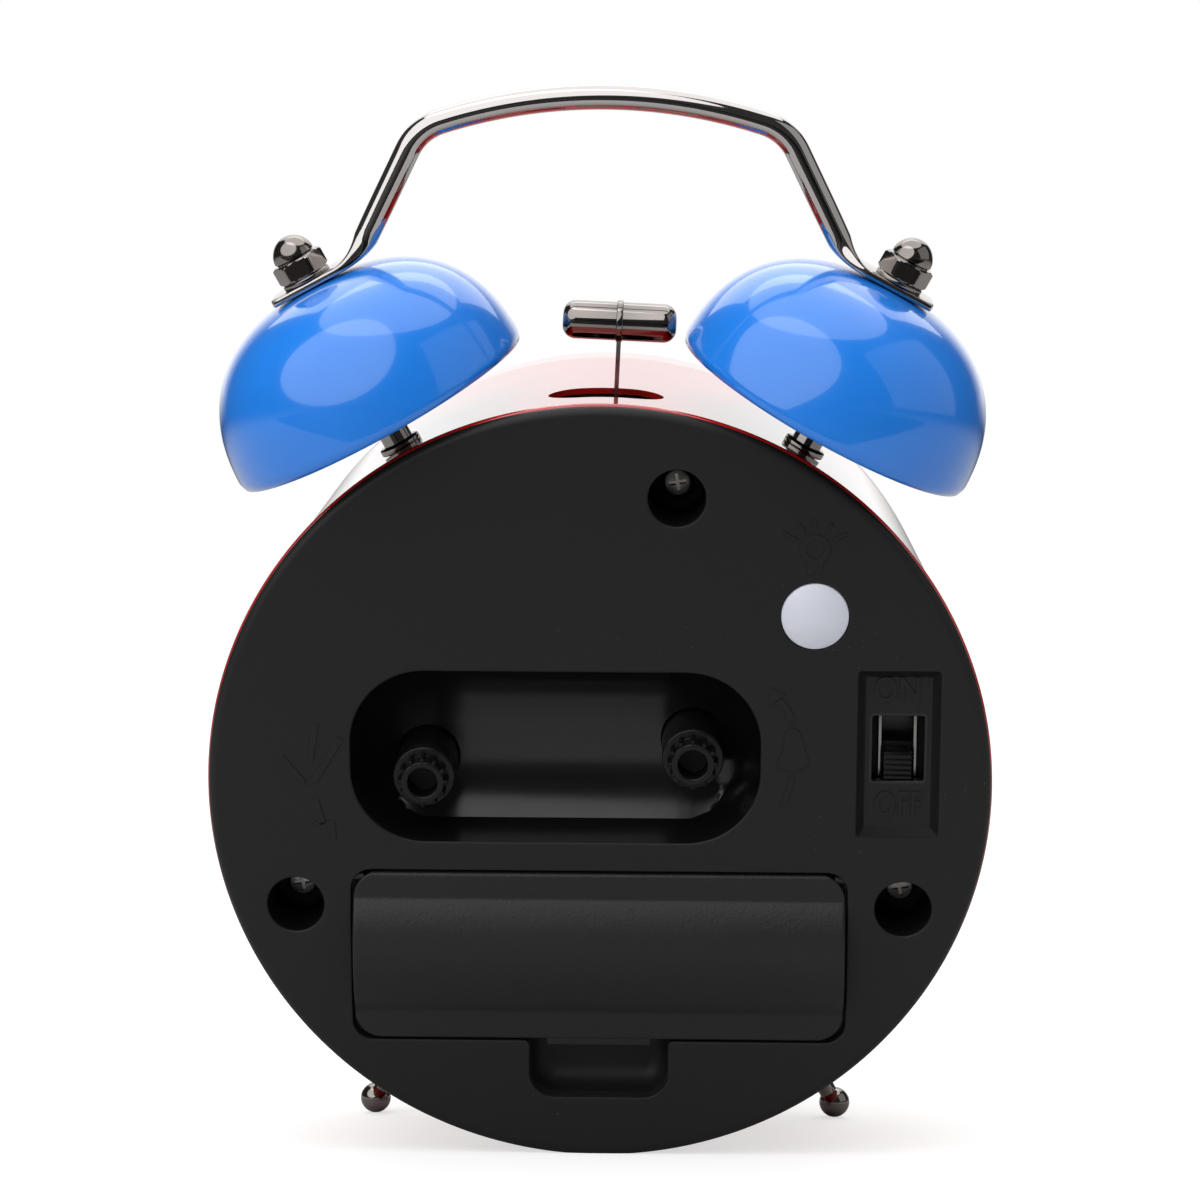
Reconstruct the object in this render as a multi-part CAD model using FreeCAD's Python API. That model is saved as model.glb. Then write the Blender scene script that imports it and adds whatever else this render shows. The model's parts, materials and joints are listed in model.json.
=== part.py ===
import FreeCAD, Part
import math
import os

# Twin bell alarm clock, in millimetres. The clock is built about its own axis:
# Y is the drum's axis with the back cover's face at y = 0 and the dial towards -Y,
# X is to the right as seen from the dial side, Z is up. It is leaned back at the end.

V = FreeCAD.Vector

# Drum and back cover
cover_radius = 45.0
cover_plate = 2.0
cover_round = 1.0
skirt_length = 4.0
skirt_wall = 1.4
moulding_wall = 1.5
case_wall = 0.7
case_bead = 0.4
bead_width = 1.2
drum_depth = 48.5
seat_gap = 0.15
through = 1.0

# Knob recess in the cover
recess_left = -18.6
recess_right = 28.7
recess_low = -6.2
recess_high = 14.3
recess_depth = 11.0
recess_corner = 8.6
recess_floor_round = 3.0

# Screw wells and cover screws
well_radius = 3.3
well_depth = 9.2
well_wall = 1.3
side_well_angle = -21.633
side_well_gap = 1.035
top_well_angle = 104.191
top_well_gap = 3.114
screw_head_radius = 1.8
screw_head_height = 1.2
screw_radius = 1.0
screw_clearance = 0.1
screw_length = 9.0
small_screw_radius = 0.8
small_screw_length = 4.7
screw_slot = 0.5

# Knobs
time_knob_x = 20.4
time_knob_z = 0.9
alarm_knob_x = -10.8
alarm_knob_z = 3.3
knob_radius = 3.6
knob_hub_radius = 2.5
knob_rib_radius = 2.95
knob_rib_width = 0.5
knob_ribs = 12
knob_grip = 2.4
knob_bore_radius = 1.72
knob_bore_depth = 3.0
knob_tail = 1.0
knob_clearance = 0.2
shaft_radius = 1.2
shaft_socket = 6.0

# Battery bay, cell and door
door_low = -30.4
door_high = -9.9
door_corner = 3.2
opening_corner = 2.4
door_plate = 1.5
door_gap = 0.25
door_end_wall = 1.4
ledge_gap = 0.2
bulge_wall = 1.35
bulge_gap = 0.35
bulge_z = -18.3
cell_radius = 7.1
cell_length = 49.5
cell_nub_radius = 2.75
cell_nub_length = 1.0
cell_edge_round = 0.6
cell_axis_y = -6.6
bay_clearance = 0.4
hinge_pin_radius = 0.5
hinge_pin_length = 1.0
latch_width = 12.2
latch_thickness = 0.8
latch_depth = 3.5
notch_width = 16.3
notch_low = -37.7
notch_depth = 5.0
notch_corner = 3.0
contact_plate = 0.5
contact_half_width = 4.0
contact_spring = 3.4
contact_top_gap = 1.0
leaf_bend_height = 1.5

# Light button and its switch
button_angle = 139.379
button_edge_gap = 12.591
button_radius = 3.87
button_dome = 0.9
button_flange = 0.9
button_flange_thickness = 0.8
button_travel = 0.7
button_clearance = 0.08
button_edge_drop = 0.1
button_stem_wall = 0.4
button_stem_length = 2.0
plunger_radius = 1.2
plunger_length = 2.4
light_switch_half = 3.0
light_switch_gap = 1.0
light_switch_corner = 0.5
light_switch_floor = 0.3

# Alarm switch
panel_edge_gap = 10.6
panel_width = 9.3
panel_low = -5.1
panel_high = 14.6
panel_depth = 1.0
panel_bevel = 0.8
window_width = 6.0
window_low = 1.3
window_high = 9.1
slider_width = 3.2
slider_height = 3.2
slider_travel = 4.3
slider_ridges = 5
slider_ridge_depth = 0.25
slider_set_back = 0.3
slider_play = 0.1
slider_foot_half = 2.4
slider_foot_height = 2.05
slider_foot_lip = 0.6
switch_frame_width = 7.6
switch_frame_height = 13.0
switch_frame_plate = 0.4
switch_rail_gap = 3.6
switch_rail_thickness = 0.5
switch_rail_height = 1.0
switch_frame_gap = 1.6
switch_base_thickness = 1.4

# Circuit board
board_face = 8.8
board_thickness = 1.2
board_low = -8.0
board_high = 27.0
board_case_gap = 2.784
board_recess_gap = 1.5
board_post_radius = 2.0
board_low_post_x = -25.0
board_low_post_z = -4.6
board_high_post_angle = 146.104
board_high_post_gap = 2.449

# Bells and their posts
bell_radius = 18.5
bell_height = 17.0
bell_wall = 0.9
bell_curve = 2.4
bell_tilt = 28.5
bell_lift = 4.4045
post_angle = 31.7645
post_radius = 1.8
thread_radius = 1.5
thread_clearance = 0.05
collar_radius = 2.5
collar_height = 0.8
post_tail = 6.0
washer_radius = 3.5
washer_thickness = 0.5
nut_flats = 5.5
nut_hex_height = 2.3
nut_dome_radius = 2.45
nut_height = 5.0
nut_bore = 3.0
nut_edge_rise = 0.385
nut_edge_share = 1.02
plain_nut_height = 2.4
post_nut_gap = 0.62

# Handle
handle_radius = 1.45
handle_rise = 38.4
handle_arch = 60.6
handle_corner = 6.5
handle_leg_slope = 25.9
handle_leg_foot = 6.2
handle_foot_bend = 8.0
handle_plate = 1.0
handle_plate_width = 5.6
handle_plate_reach = 4.6
handle_spread = 1.96
handle_spread_half = 0.8
handle_end_half = 0.55

# Hammer
pivot_x = -0.9
pivot_z = 28.0
hammer_rest_tilt = -2.6
strike_height = 11.1
strike_gap = 0.35
hammer_radius = 2.22
hammer_round = 1.5
hammer_band = 0.75
hammer_band_radius = 2.42
strip_thickness = 0.5
strip_width = 2.4
hammer_hub_radius = 2.2
hammer_hub_length = 4.0
pivot_pin_radius = 1.0
pivot_step = 0.8
pivot_end_play = 0.3
clip_wall = 0.9
clip_thickness = 0.6
slot_length = 13.4
slot_width = 7.6

# Striker magnet
coil_z = 22.0
coil_radius = 4.4
coil_length = 9.4
bobbin_radius = 5.0
bobbin_flange = 0.8
core_radius = 1.8
core_gap = 0.9
core_reach = 1.5
bobbin_wall = 0.6
armature_thickness = 1.2
armature_width = 7.0
armature_height = 5.0
bracket_plate = 1.0
bracket_left_reach = 3.4
bracket_low_reach = 10.5
bracket_high_reach = 3.5
bracket_corner = 1.5
bracket_arm_half = 4.5
bracket_screw_drop = 7.0
bracket_screw_left = 1.3
bracket_screw_right = 4.0
striker_room = 6.5

# Feet
foot_y = -32.0
foot_reach = 58.5
foot_drop = 60.3
foot_ball = 1.9
foot_neck = 1.1
foot_base = 2.4
foot_base_height = 1.2
foot_seat = 0.6
foot_nut_gap = 0.6
foot_thread_tail = 5.0

# Front: the dial and the rings round it set the drum's front radius
dial_radius = 38.3
dial_thickness = 0.5
dial_frame_thickness = 2.0
dial_frame_gap = 0.48
pillar_radius = 3.0
ring_gap = 0.1
light_ring_width = 2.1
lens_gap = 0.05
lens_thickness = 1.8
lens_set_back = 1.7
hand_room = 6.8
bezel_wall = 0.6
bezel_lip = 2.0
bezel_step = 0.2
bezel_lip_round = 1.3
bezel_lip_edge = 1.0
lamp_radius = 1.2
lamp_angle = 150.0
lamp_base_half = 1.6
lamp_base_height = 0.8

# Hands, clockwise from twelve as seen from the dial side
hand_thickness = 0.35
hour_hand_length = 20.0
minute_hand_length = 29.0
second_hand_length = 31.0
alarm_hand_length = 15.0
hour_hand_angle = 305.0
minute_hand_angle = 60.0
second_hand_angle = 210.0
alarm_hand_angle = 195.0
hour_hand_width = 2.4
minute_hand_width = 1.8
second_hand_width = 0.7
alarm_hand_width = 1.0
hour_hand_tail = 4.0
minute_hand_tail = 5.0
second_hand_tail = 9.0
hour_boss_radius = 2.6
minute_boss_radius = 2.2
second_boss_radius = 1.6
alarm_boss_radius = 3.2
hand_boss_depth = 0.5
hand_point = 1.2
hand_pitch = 1.15
hand_neck_gap = 1.4
tube_proud = 0.1

# Movement
movement_left_margin = 6.2
movement_right_margin = 6.6
movement_low = -20.6
movement_high = 19.0
movement_corner = 4.0
movement_wall = 1.2
movement_depth = 17.5
seam_depth = 8.5
housing_pillar_radius = 2.2
housing_pillar_inset = 3.2
housing_neck_gap = 0.3
bearing_depth = 0.8
bearing_floor = 0.1
arbor_end_play = 0.05
hub_wall = 0.4
gear_face = 0.9
gear_gap = 0.3
pressure_angle = 25.0
gear_backlash = 0.05
arbor_radius = 0.4
bearing_clearance = 0.05
minute_tube_radius = 0.9
hour_tube_radius = 1.5
alarm_tube_radius = 2.2
neck_wall = 1.0
hand_module = 0.3
train_module = 0.2
cannon_teeth = 15
minute_wheel_teeth = 45
minute_pinion_teeth = 12
hour_teeth = 48
alarm_wheel_teeth = 48
alarm_gear_teeth = 24
rotor_teeth = 12
intermediate_teeth = 60
intermediate_pinion_teeth = 12
second_teeth = 72
second_pinion_teeth = 12
third_teeth = 90
third_pinion_teeth = 12
centre_teeth = 96
third_angle = -65.0
intermediate_angle = 100.0
rotor_angle = 20.0
magnet_radius = 1.9
magnet_length = 1.3
stator_thickness = 0.9
stator_gap = 0.5
motor_coil_radius = 2.4
motor_coil_length = 9.0
motor_coil_gap = 0.4
motor_coil_rise = 3.9
stator_bar_half = 0.8
stator_left = -11.0
stator_upright = 1.8


# Shape helpers

def box(x0, x1, y0, y1, z0, z1):
    return Part.makeBox(x1 - x0, y1 - y0, z1 - z0, V(x0, y0, z0))


def rod(radius, y0, y1, x=0.0, z=0.0):
    return Part.makeCylinder(radius, y1 - y0, V(x, y0, z), V(0, 1, 0))


def tube(outer, inner, y0, y1, x=0.0, z=0.0):
    return rod(outer, y0, y1, x, z).cut(rod(inner, y0, y1, x, z))


def post(radius, z0, z1, x=0.0, y=0.0):
    return Part.makeCylinder(radius, z1 - z0, V(x, y, z0), V(0, 0, 1))


def bar(radius, x0, x1, y, z):
    return Part.makeCylinder(radius, x1 - x0, V(x0, y, z), V(1, 0, 0))


def joined(*shapes):
    whole = shapes[0]
    for shape in shapes[1:]:
        whole = whole.fuse(shape)
    return whole.removeSplitter()


def less(shape, *tools):
    for tool in tools:
        shape = shape.cut(tool)
    return shape


def group(*shapes):
    return Part.makeCompound(list(shapes))


# A closed outline: each step is an end point, or a middle and an end point of an arc
def outline(to_space, start, *steps):
    edges = []
    here = to_space(*start)
    for step in list(steps) + [(start,)]:
        points = [to_space(*point) for point in step]
        if (points[-1] - here).Length > 1e-6:
            if len(points) == 1:
                edges.append(Part.LineSegment(here, points[0]).toShape())
            else:
                edges.append(Part.Arc(here, points[0], points[1]).toShape())
        here = points[-1]
    return Part.Face(Part.Wire(edges))


# Turned about an axis along Y: points are (radius, y)
def turned(start, *steps, x=0.0, z=0.0):
    face = outline(lambda r, y: V(x + r, y, z), start, *steps)
    return face.revolve(V(x, 0, z), V(0, 1, 0), 360)


# Turned about the Z axis: points are (radius, z)
def spun(start, *steps):
    face = outline(lambda r, z: V(r, 0, z), start, *steps)
    return face.revolve(V(0, 0, 0), V(0, 0, 1), 360)


# A flat plate in the XZ plane between two depths: points are (x, z)
def plate(y0, y1, start, *steps):
    return outline(lambda x, z: V(x, y0, z), start, *steps).extrude(V(0, y1 - y0, 0))


def edges_along(shape, axis):
    def runs(edge):
        a = edge.Vertexes[0].Point
        b = edge.Vertexes[-1].Point
        return (b - a).Length > 1e-6 and abs((b - a).normalize().dot(axis)) > 0.999
    return [edge for edge in shape.Edges if runs(edge)]


def rounded_box(x0, x1, y0, y1, z0, z1, corner):
    block = box(x0, x1, y0, y1, z0, z1)
    return block.makeFillet(corner, edges_along(block, V(0, 1, 0)))


def level_edges(shape, y):
    return [edge for edge in shape.Edges
            if all(abs(vertex.Y - y) < 1e-6 for vertex in edge.Vertexes)]


def hexagon(flats, z0, z1):
    corner = flats / math.sqrt(3)
    points = [V(corner * math.cos(math.radians(60 * i)), corner * math.sin(math.radians(60 * i)), z0)
              for i in range(6)]
    return Part.Face(Part.makePolygon(points + points[:1])).extrude(V(0, 0, z1 - z0))


def mirrored(shape):
    return shape.mirror(V(0, 0, 0), V(1, 0, 0))


def turned_about_y(shape, angle, x, y, z):
    turn = FreeCAD.Placement(V(x, y, z), FreeCAD.Rotation(V(0, 1, 0), angle))
    moved = shape.copy()
    moved.Placement = turn.multiply(moved.Placement)
    return moved


# Places that several pieces share

bezel_inner = dial_radius + ring_gap
light_ring_outer = bezel_inner + light_ring_width
bezel_bore = light_ring_outer + lens_gap
case_front_radius = bezel_bore + bezel_wall + seat_gap + case_wall
lens_y = lens_set_back - drum_depth
dial_y = lens_y + hand_room
frame_front = dial_y + dial_thickness
frame_rear = frame_front + dial_frame_thickness
movement_front = frame_rear
movement_rear = movement_front + movement_depth
movement_seam = movement_front + seam_depth
bell_y = movement_rear + striker_room


def case_radius(y):
    share = (-y - cover_plate) / (drum_depth - cover_plate)
    return cover_radius + (case_front_radius - cover_radius) * share


def polar(radius, angle):
    return radius * math.cos(math.radians(angle)), radius * math.sin(math.radians(angle))


# The narrowest that the case is inside between two depths
def case_room(y0, y1):
    return min(case_radius(y0), case_radius(y1)) - case_wall


# The middle of a bell's rim: out along its post from where the post leaves the case
post_foot = polar(case_radius(bell_y), 90 - post_angle)
bell_x = post_foot[0] + bell_lift * math.sin(math.radians(bell_tilt))
bell_z = post_foot[1] + bell_lift * math.cos(math.radians(bell_tilt))
handle_top = bell_z + handle_rise
hammer_arm = bell_z + strike_height - pivot_z
hammer_length = 2 * (bell_x - bell_radius - strike_gap)


# The point of a bell post's axis at a height over the bell's rim, and at a reach across it
def bell_point(reach, height):
    tilt = math.radians(bell_tilt)
    return (bell_x + reach * math.cos(tilt) + height * math.sin(tilt),
            bell_z - reach * math.sin(tilt) + height * math.cos(tilt))


def on_post(shape):
    return turned_about_y(shape, bell_tilt, bell_x, bell_y, bell_z)


def on_foot(shape):
    return turned_about_y(shape, 90.0 + foot_drop, 0.0, foot_y, 0.0)


# A point at one distance from each of two centres, on the left of the line between them
def meeting(a, distance_a, b, distance_b):
    dx, dz = b[0] - a[0], b[1] - a[1]
    span = math.hypot(dx, dz)
    along = (distance_a ** 2 - distance_b ** 2 + span ** 2) / (2 * span)
    aside = math.sqrt(distance_a ** 2 - along ** 2)
    return (a[0] + (along * dx - aside * dz) / span,
            a[1] + (along * dz + aside * dx) / span)


pillar_room = case_room(frame_rear, -well_depth) - pillar_radius
side_well_x, side_well_z = polar(pillar_room - side_well_gap, side_well_angle)
well_spots = [polar(pillar_room - top_well_gap, top_well_angle),
              (side_well_x, side_well_z), (-side_well_x, side_well_z)]
button_x, button_z = polar(cover_radius - button_edge_gap, button_angle)
panel_centre_x = panel_edge_gap - cover_radius
panel_left = panel_centre_x - panel_width / 2
panel_right = panel_centre_x + panel_width / 2
slider_centre_z = window_low + slider_height / 2 + slider_play
switch_face = -cover_plate - switch_frame_gap
window_centre_z = (window_low + window_high) / 2
board_radius = case_room(-board_face, -board_face - board_thickness) - board_case_gap
board_inner_x = recess_left - moulding_wall - board_recess_gap
board_post_spots = [(board_low_post_x, board_low_post_z),
                    polar(board_radius - board_high_post_gap, board_high_post_angle)]
bay_length = cell_length + cell_nub_length + contact_plate + contact_spring
door_width = bay_length + 2 * door_end_wall
bulge_radius = cell_radius + bulge_gap + bulge_wall
hinge_y = -door_plate / 2
hinge_z = door_high - door_plate / 2
bay_low = bulge_z - cell_radius - bay_clearance
bay_high = bulge_z + cell_radius + bay_clearance
bay_floor = cell_axis_y - cell_radius - bay_clearance
movement_left = alarm_knob_x - movement_left_margin
movement_right = time_knob_x + movement_right_margin
inner_front = movement_front + movement_wall
inner_rear = movement_rear - movement_wall
arbor_start = inner_front - bearing_depth + bearing_floor
arbor_end = inner_rear + bearing_depth - bearing_floor
neck_radius = alarm_tube_radius + bearing_clearance + neck_wall
main_axis = (0.0, 0.0)
time_axis = (time_knob_x, time_knob_z)
alarm_axis = (alarm_knob_x, alarm_knob_z)
hand_centres = hand_module * (cannon_teeth + minute_wheel_teeth) / 2
time_gear_teeth = math.ceil(2 * (math.hypot(*time_axis) - hand_centres) / hand_module - minute_wheel_teeth)
minute_axis = meeting(main_axis, hand_centres, time_axis,
                      hand_module * (minute_wheel_teeth + time_gear_teeth) / 2)
hour_module = 2 * hand_centres / (minute_pinion_teeth + hour_teeth)
alarm_module = 2 * math.hypot(*alarm_axis) / (alarm_wheel_teeth + alarm_gear_teeth)
third_centres = train_module * (second_pinion_teeth + third_teeth) / 2
third_axis = polar(third_centres, third_angle)
centre_module = 2 * third_centres / (third_pinion_teeth + centre_teeth)
intermediate_axis = polar(train_module * (intermediate_pinion_teeth + second_teeth) / 2,
                          intermediate_angle)
rotor_step = polar(train_module * (rotor_teeth + intermediate_teeth) / 2, rotor_angle)
rotor_axis = (intermediate_axis[0] + rotor_step[0], intermediate_axis[1] + rotor_step[1])


# Front face of each layer of gears, counted from the dial side
def layer(number):
    return inner_front + gear_gap + number * (gear_face + gear_gap)


# Gears

def involute(angle):
    return math.tan(angle) - angle


# The direction of a follower's first tooth, so that it meshes with a driver's teeth
def meshed(driver_teeth, driver_phase, driver, follower_teeth, follower):
    line = math.atan2(follower[1] - driver[1], follower[0] - driver[0])
    share = (line - driver_phase) * driver_teeth / (2 * math.pi)
    return line + math.pi - 2 * math.pi * (0.5 - share) / follower_teeth


def gear(teeth, module, y0, y1, axis, phase):
    pitch = module * teeth / 2
    base = pitch * math.cos(math.radians(pressure_angle))
    tip = pitch + 0.95 * module
    root = pitch - 1.25 * module
    start = max(base * 1.0001, root)
    half = (math.pi / 2 - gear_backlash / (2 * module)) / teeth

    def flank(radius):
        return half + involute(math.radians(pressure_angle)) - involute(math.acos(base / radius))

    def spot(radius, angle):
        return V(axis[0] + radius * math.cos(angle), y0, axis[1] + radius * math.sin(angle))

    middle = (start + tip) / 2
    edges = []
    last = None
    first = None
    for number in range(teeth):
        turn = phase + 2 * math.pi * number / teeth
        foot = spot(root, turn - flank(start))
        rise = [spot(r, turn - flank(r)) for r in (start, middle, tip)]
        fall = [spot(r, turn + flank(r)) for r in (tip, middle, start)]
        end = spot(root, turn + flank(start))
        if last is None:
            first = foot
        else:
            edges.append(Part.LineSegment(last, foot).toShape())
        if (rise[0] - foot).Length > 1e-4:
            edges.append(Part.LineSegment(foot, rise[0]).toShape())
        edges.append(Part.Arc(*rise).toShape())
        edges.append(Part.LineSegment(rise[2], fall[0]).toShape())
        edges.append(Part.Arc(*fall).toShape())
        if (end - fall[2]).Length > 1e-4:
            edges.append(Part.LineSegment(fall[2], end).toShape())
        last = end
    edges.append(Part.LineSegment(last, first).toShape())
    return Part.Face(Part.Wire(edges)).extrude(V(0, y1 - y0, 0))


def gear_on_layer(teeth, module, number, axis, phase):
    front = layer(number)
    return gear(teeth, module, front, front + gear_face, axis, phase)


# Case and cover

def case_shell():
    rear = -cover_plate
    bead_end = rear - bead_width
    shell = turned(
        (cover_radius - case_wall, rear), ((cover_radius, rear),),
        ((cover_radius + case_bead, (rear + bead_end) / 2), (case_radius(bead_end), bead_end)),
        ((case_front_radius, -drum_depth),), ((case_front_radius - case_wall, -drum_depth),))
    half = slot_length / 2
    flat = half - slot_width / 2
    middle_x = pivot_x / 2
    slot = outline(lambda x, y: V(middle_x + x, bell_y + y, 0), (-flat, -slot_width / 2),
                   ((flat, -slot_width / 2),), ((half, 0), (flat, slot_width / 2)),
                   ((-flat, slot_width / 2),), ((-half, 0), (-flat, -slot_width / 2)))
    shell = less(shell, slot.extrude(V(0, 0, cover_radius * 2)))
    hole = on_post(post(thread_radius + thread_clearance, -bell_lift - post_tail, 0))
    foot_hole = on_foot(post(thread_radius + thread_clearance, case_radius(foot_y) - post_tail,
                             case_radius(foot_y) + through))
    return less(shell, hole, mirrored(hole), foot_hole, mirrored(foot_hole))


def skirt_outer_radius():
    return case_room(-cover_plate, -cover_plate - skirt_length) - seat_gap


def cover_disc():
    rim = cover_radius - cover_round
    bend = cover_round * (1 - math.sqrt(0.5))
    disc = turned((0, 0), ((rim, 0),),
                  ((cover_radius - bend, -bend), (cover_radius, -cover_round)),
                  ((cover_radius, -cover_plate),), ((0, -cover_plate),))
    skirt_outer = skirt_outer_radius()
    skirt = tube(skirt_outer, skirt_outer - skirt_wall, -cover_plate - skirt_length, -cover_plate)
    return joined(disc, skirt)


def recess_block(margin, top):
    floor = -recess_depth - margin
    block = rounded_box(recess_left - margin, recess_right + margin, floor, top,
                        recess_low - margin, recess_high + margin, recess_corner + margin)
    return block.makeFillet(recess_floor_round + margin, level_edges(block, floor))


def panel_cut():
    def ring(margin, y):
        points = [V(panel_left + margin, y, panel_low + margin),
                  V(panel_right - margin, y, panel_low + margin),
                  V(panel_right - margin, y, panel_high - margin),
                  V(panel_left + margin, y, panel_high - margin)]
        return Part.makePolygon(points + points[:1])
    return Part.makeLoft([ring(0, 0), ring(panel_bevel, -panel_depth)], True, True)


def door_opening(margin, corner, y0, y1):
    half = door_width / 2 + margin
    return rounded_box(-half, half, y0, y1, door_low - margin, door_high + margin, corner)


def notch_block(margin, y0, y1):
    half = notch_width / 2 + margin
    block = box(-half, half, y0, y1, notch_low - margin, door_low + 2 * door_gap + margin)
    low = [edge for edge in edges_along(block, V(0, 1, 0))
           if edge.Vertexes[0].Z < (door_low + notch_low) / 2]
    return block.makeFillet(notch_corner + margin, low)


def back_cover():
    half_bay = bay_length / 2
    wall = moulding_wall
    ledge_front = -door_plate - ledge_gap
    inside = rod(skirt_outer_radius(), bay_floor - wall - through, through)
    body = cover_disc()
    middle = -cover_plate / 2
    hidden = [recess_block(wall, middle),
              box(-half_bay - wall, half_bay + wall, bay_floor - wall, middle,
                  bay_low - wall, bay_high + wall),
              door_opening(wall, opening_corner + wall, ledge_front - wall, middle),
              notch_block(wall, -notch_depth - wall, middle)]
    hidden += [rod(well_radius + well_wall, -well_depth - wall, middle, x, z) for x, z in well_spots]
    for block in hidden:
        body = joined(body, block.common(inside))
    for x, z in board_post_spots:
        body = joined(body, rod(board_post_radius, -board_face, middle, x, z))
    body = less(body, recess_block(0, through),
                box(-half_bay, half_bay, bay_floor, through, bay_low, bay_high),
                door_opening(door_gap, opening_corner, ledge_front, through),
                notch_block(0, -notch_depth, through), panel_cut())
    for x, z in well_spots:
        body = less(body, rod(well_radius, -well_depth, through, x, z),
                    rod(screw_radius + screw_clearance, -well_depth - wall - through, through, x, z))
    for x, z in board_post_spots:
        body = less(body, rod(small_screw_radius, -board_face - through, -cover_plate - through, x, z))
    for x, z in (time_axis, alarm_axis):
        body = less(body, rod(knob_radius + knob_clearance, -recess_depth - wall - through, through, x, z))
    pin_end = door_width / 2 + hinge_pin_length + ledge_gap
    pins = bar(hinge_pin_radius + bearing_clearance, -pin_end, pin_end, hinge_y, hinge_z)
    window = box(panel_centre_x - window_width / 2, panel_centre_x + window_width / 2,
                 -cover_plate - through, through, window_low, window_high)
    hole = rod(button_radius + button_clearance, -cover_plate - through, through, button_x, button_z)
    return less(body, pins, window, hole)


def cover_screws():
    screws = []
    for x, z in well_spots:
        head_end = -well_depth + screw_head_height
        head = rod(screw_head_radius, -well_depth, head_end, x, z)
        top_edge = level_edges(head, head_end)
        head = head.makeFillet(screw_head_height / 3, top_edge)
        shank = rod(screw_radius, -well_depth - screw_length, -well_depth, x, z)
        cross = [box(x - w, x + w, head_end - screw_slot, head_end + 1, z - h, z + h)
                 for w, h in ((screw_head_radius * 0.6, screw_slot / 2),
                              (screw_slot / 2, screw_head_radius * 0.6))]
        screws.append(less(joined(head, shank), *cross))
    return group(*screws)


# Battery bay

def battery_door():
    half = door_width / 2
    slab = rounded_box(-half, half, -door_plate, 0, door_low, door_high, door_corner)
    top = box(-half, half, -door_plate, 0, hinge_z, door_high)
    slab = less(slab, less(top, bar(door_plate / 2, -half, half, hinge_y, hinge_z)))
    bulge = bar(bulge_radius, -half, half, cell_axis_y, bulge_z)
    bulge = less(bulge, box(-half - through, half + through, cell_axis_y - 2 * bulge_radius, -door_plate,
                            bulge_z - 2 * bulge_radius, bulge_z + 2 * bulge_radius))
    latch = box(-latch_width / 2, latch_width / 2, -latch_depth, 0,
                door_low - latch_thickness, door_low)
    web = box(-latch_width / 2, latch_width / 2, -door_plate, 0, door_low - latch_thickness,
              door_low + latch_thickness)
    door = joined(slab, bulge, web, latch)
    hollow = bar(bulge_radius - bulge_wall, -bay_length / 2, bay_length / 2, cell_axis_y, bulge_z)
    door = less(door, hollow)
    root = half - hinge_pin_length
    pin = bar(hinge_pin_radius, root, half + hinge_pin_length, hinge_y, hinge_z)
    return joined(door, pin, mirrored(pin))


def battery_cell():
    right = bay_length / 2 - contact_plate - cell_nub_length
    body = bar(cell_radius, right - cell_length, right, cell_axis_y, bulge_z)
    ends = [edge for edge in body.Edges if edge.Closed]
    body = body.makeFillet(cell_edge_round, ends)
    nub = bar(cell_nub_radius, right - cell_nub_length, right + cell_nub_length, cell_axis_y, bulge_z)
    return joined(body, nub)


def positive_contact():
    x = bay_length / 2
    return box(x - contact_plate, x, bay_floor, -door_plate - contact_top_gap, bulge_z - contact_half_width,
               bulge_z + contact_half_width)


# A bent leaf that presses on the flat end of the cell
def negative_contact():
    x = -bay_length / 2
    cell_end = bay_length / 2 - contact_plate - cell_nub_length - cell_length
    low, high = bay_floor, -door_plate - contact_top_gap
    bend = x + contact_plate * 1.6
    leaf = Part.makePolygon([
        V(x, low, 0), V(x, high, 0), V(x + contact_plate, high, 0),
        V(x + contact_plate, low + leaf_bend_height, 0), V(cell_end - contact_plate / 2, cell_axis_y, 0),
        V(cell_end, cell_axis_y, 0), V(bend, low, 0), V(x, low, 0)])
    face = Part.Face(leaf)
    face.translate(V(0, 0, bulge_z - contact_half_width))
    return face.extrude(V(0, 0, 2 * contact_half_width))


# Light button, switches and circuit board

def light_button():
    edge = -button_edge_drop
    flange_front = -cover_plate - seat_gap
    flange_end = flange_front - button_flange_thickness
    sagitta = button_dome - edge
    sphere = (button_radius ** 2 + sagitta ** 2) / (2 * sagitta)
    middle_r = button_radius / 2
    middle_y = button_dome - sphere + math.sqrt(sphere ** 2 - middle_r ** 2)
    flange = button_radius + button_flange
    stem = plunger_radius + button_stem_wall
    return turned((0, button_dome), ((middle_r, middle_y), (button_radius, edge)),
                  ((button_radius, flange_front),), ((flange, flange_front),),
                  ((flange, flange_end),), ((stem, flange_end),),
                  ((stem, plunger_top()),), ((0, plunger_top()),), x=button_x, z=button_z)


def plunger_top():
    return -cover_plate - seat_gap - button_flange_thickness - button_stem_length


def switch_plunger():
    top = plunger_top()
    return rod(plunger_radius, top - plunger_length, top, button_x, button_z)


def light_switch():
    face = plunger_top() - light_switch_gap
    half = light_switch_half
    body = rounded_box(button_x - half, button_x + half, -board_face, face,
                       button_z - half, button_z + half, light_switch_corner)
    well = rod(plunger_radius + bearing_clearance, -board_face + light_switch_floor, face + through,
               button_x, button_z)
    return less(body, well)


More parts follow.
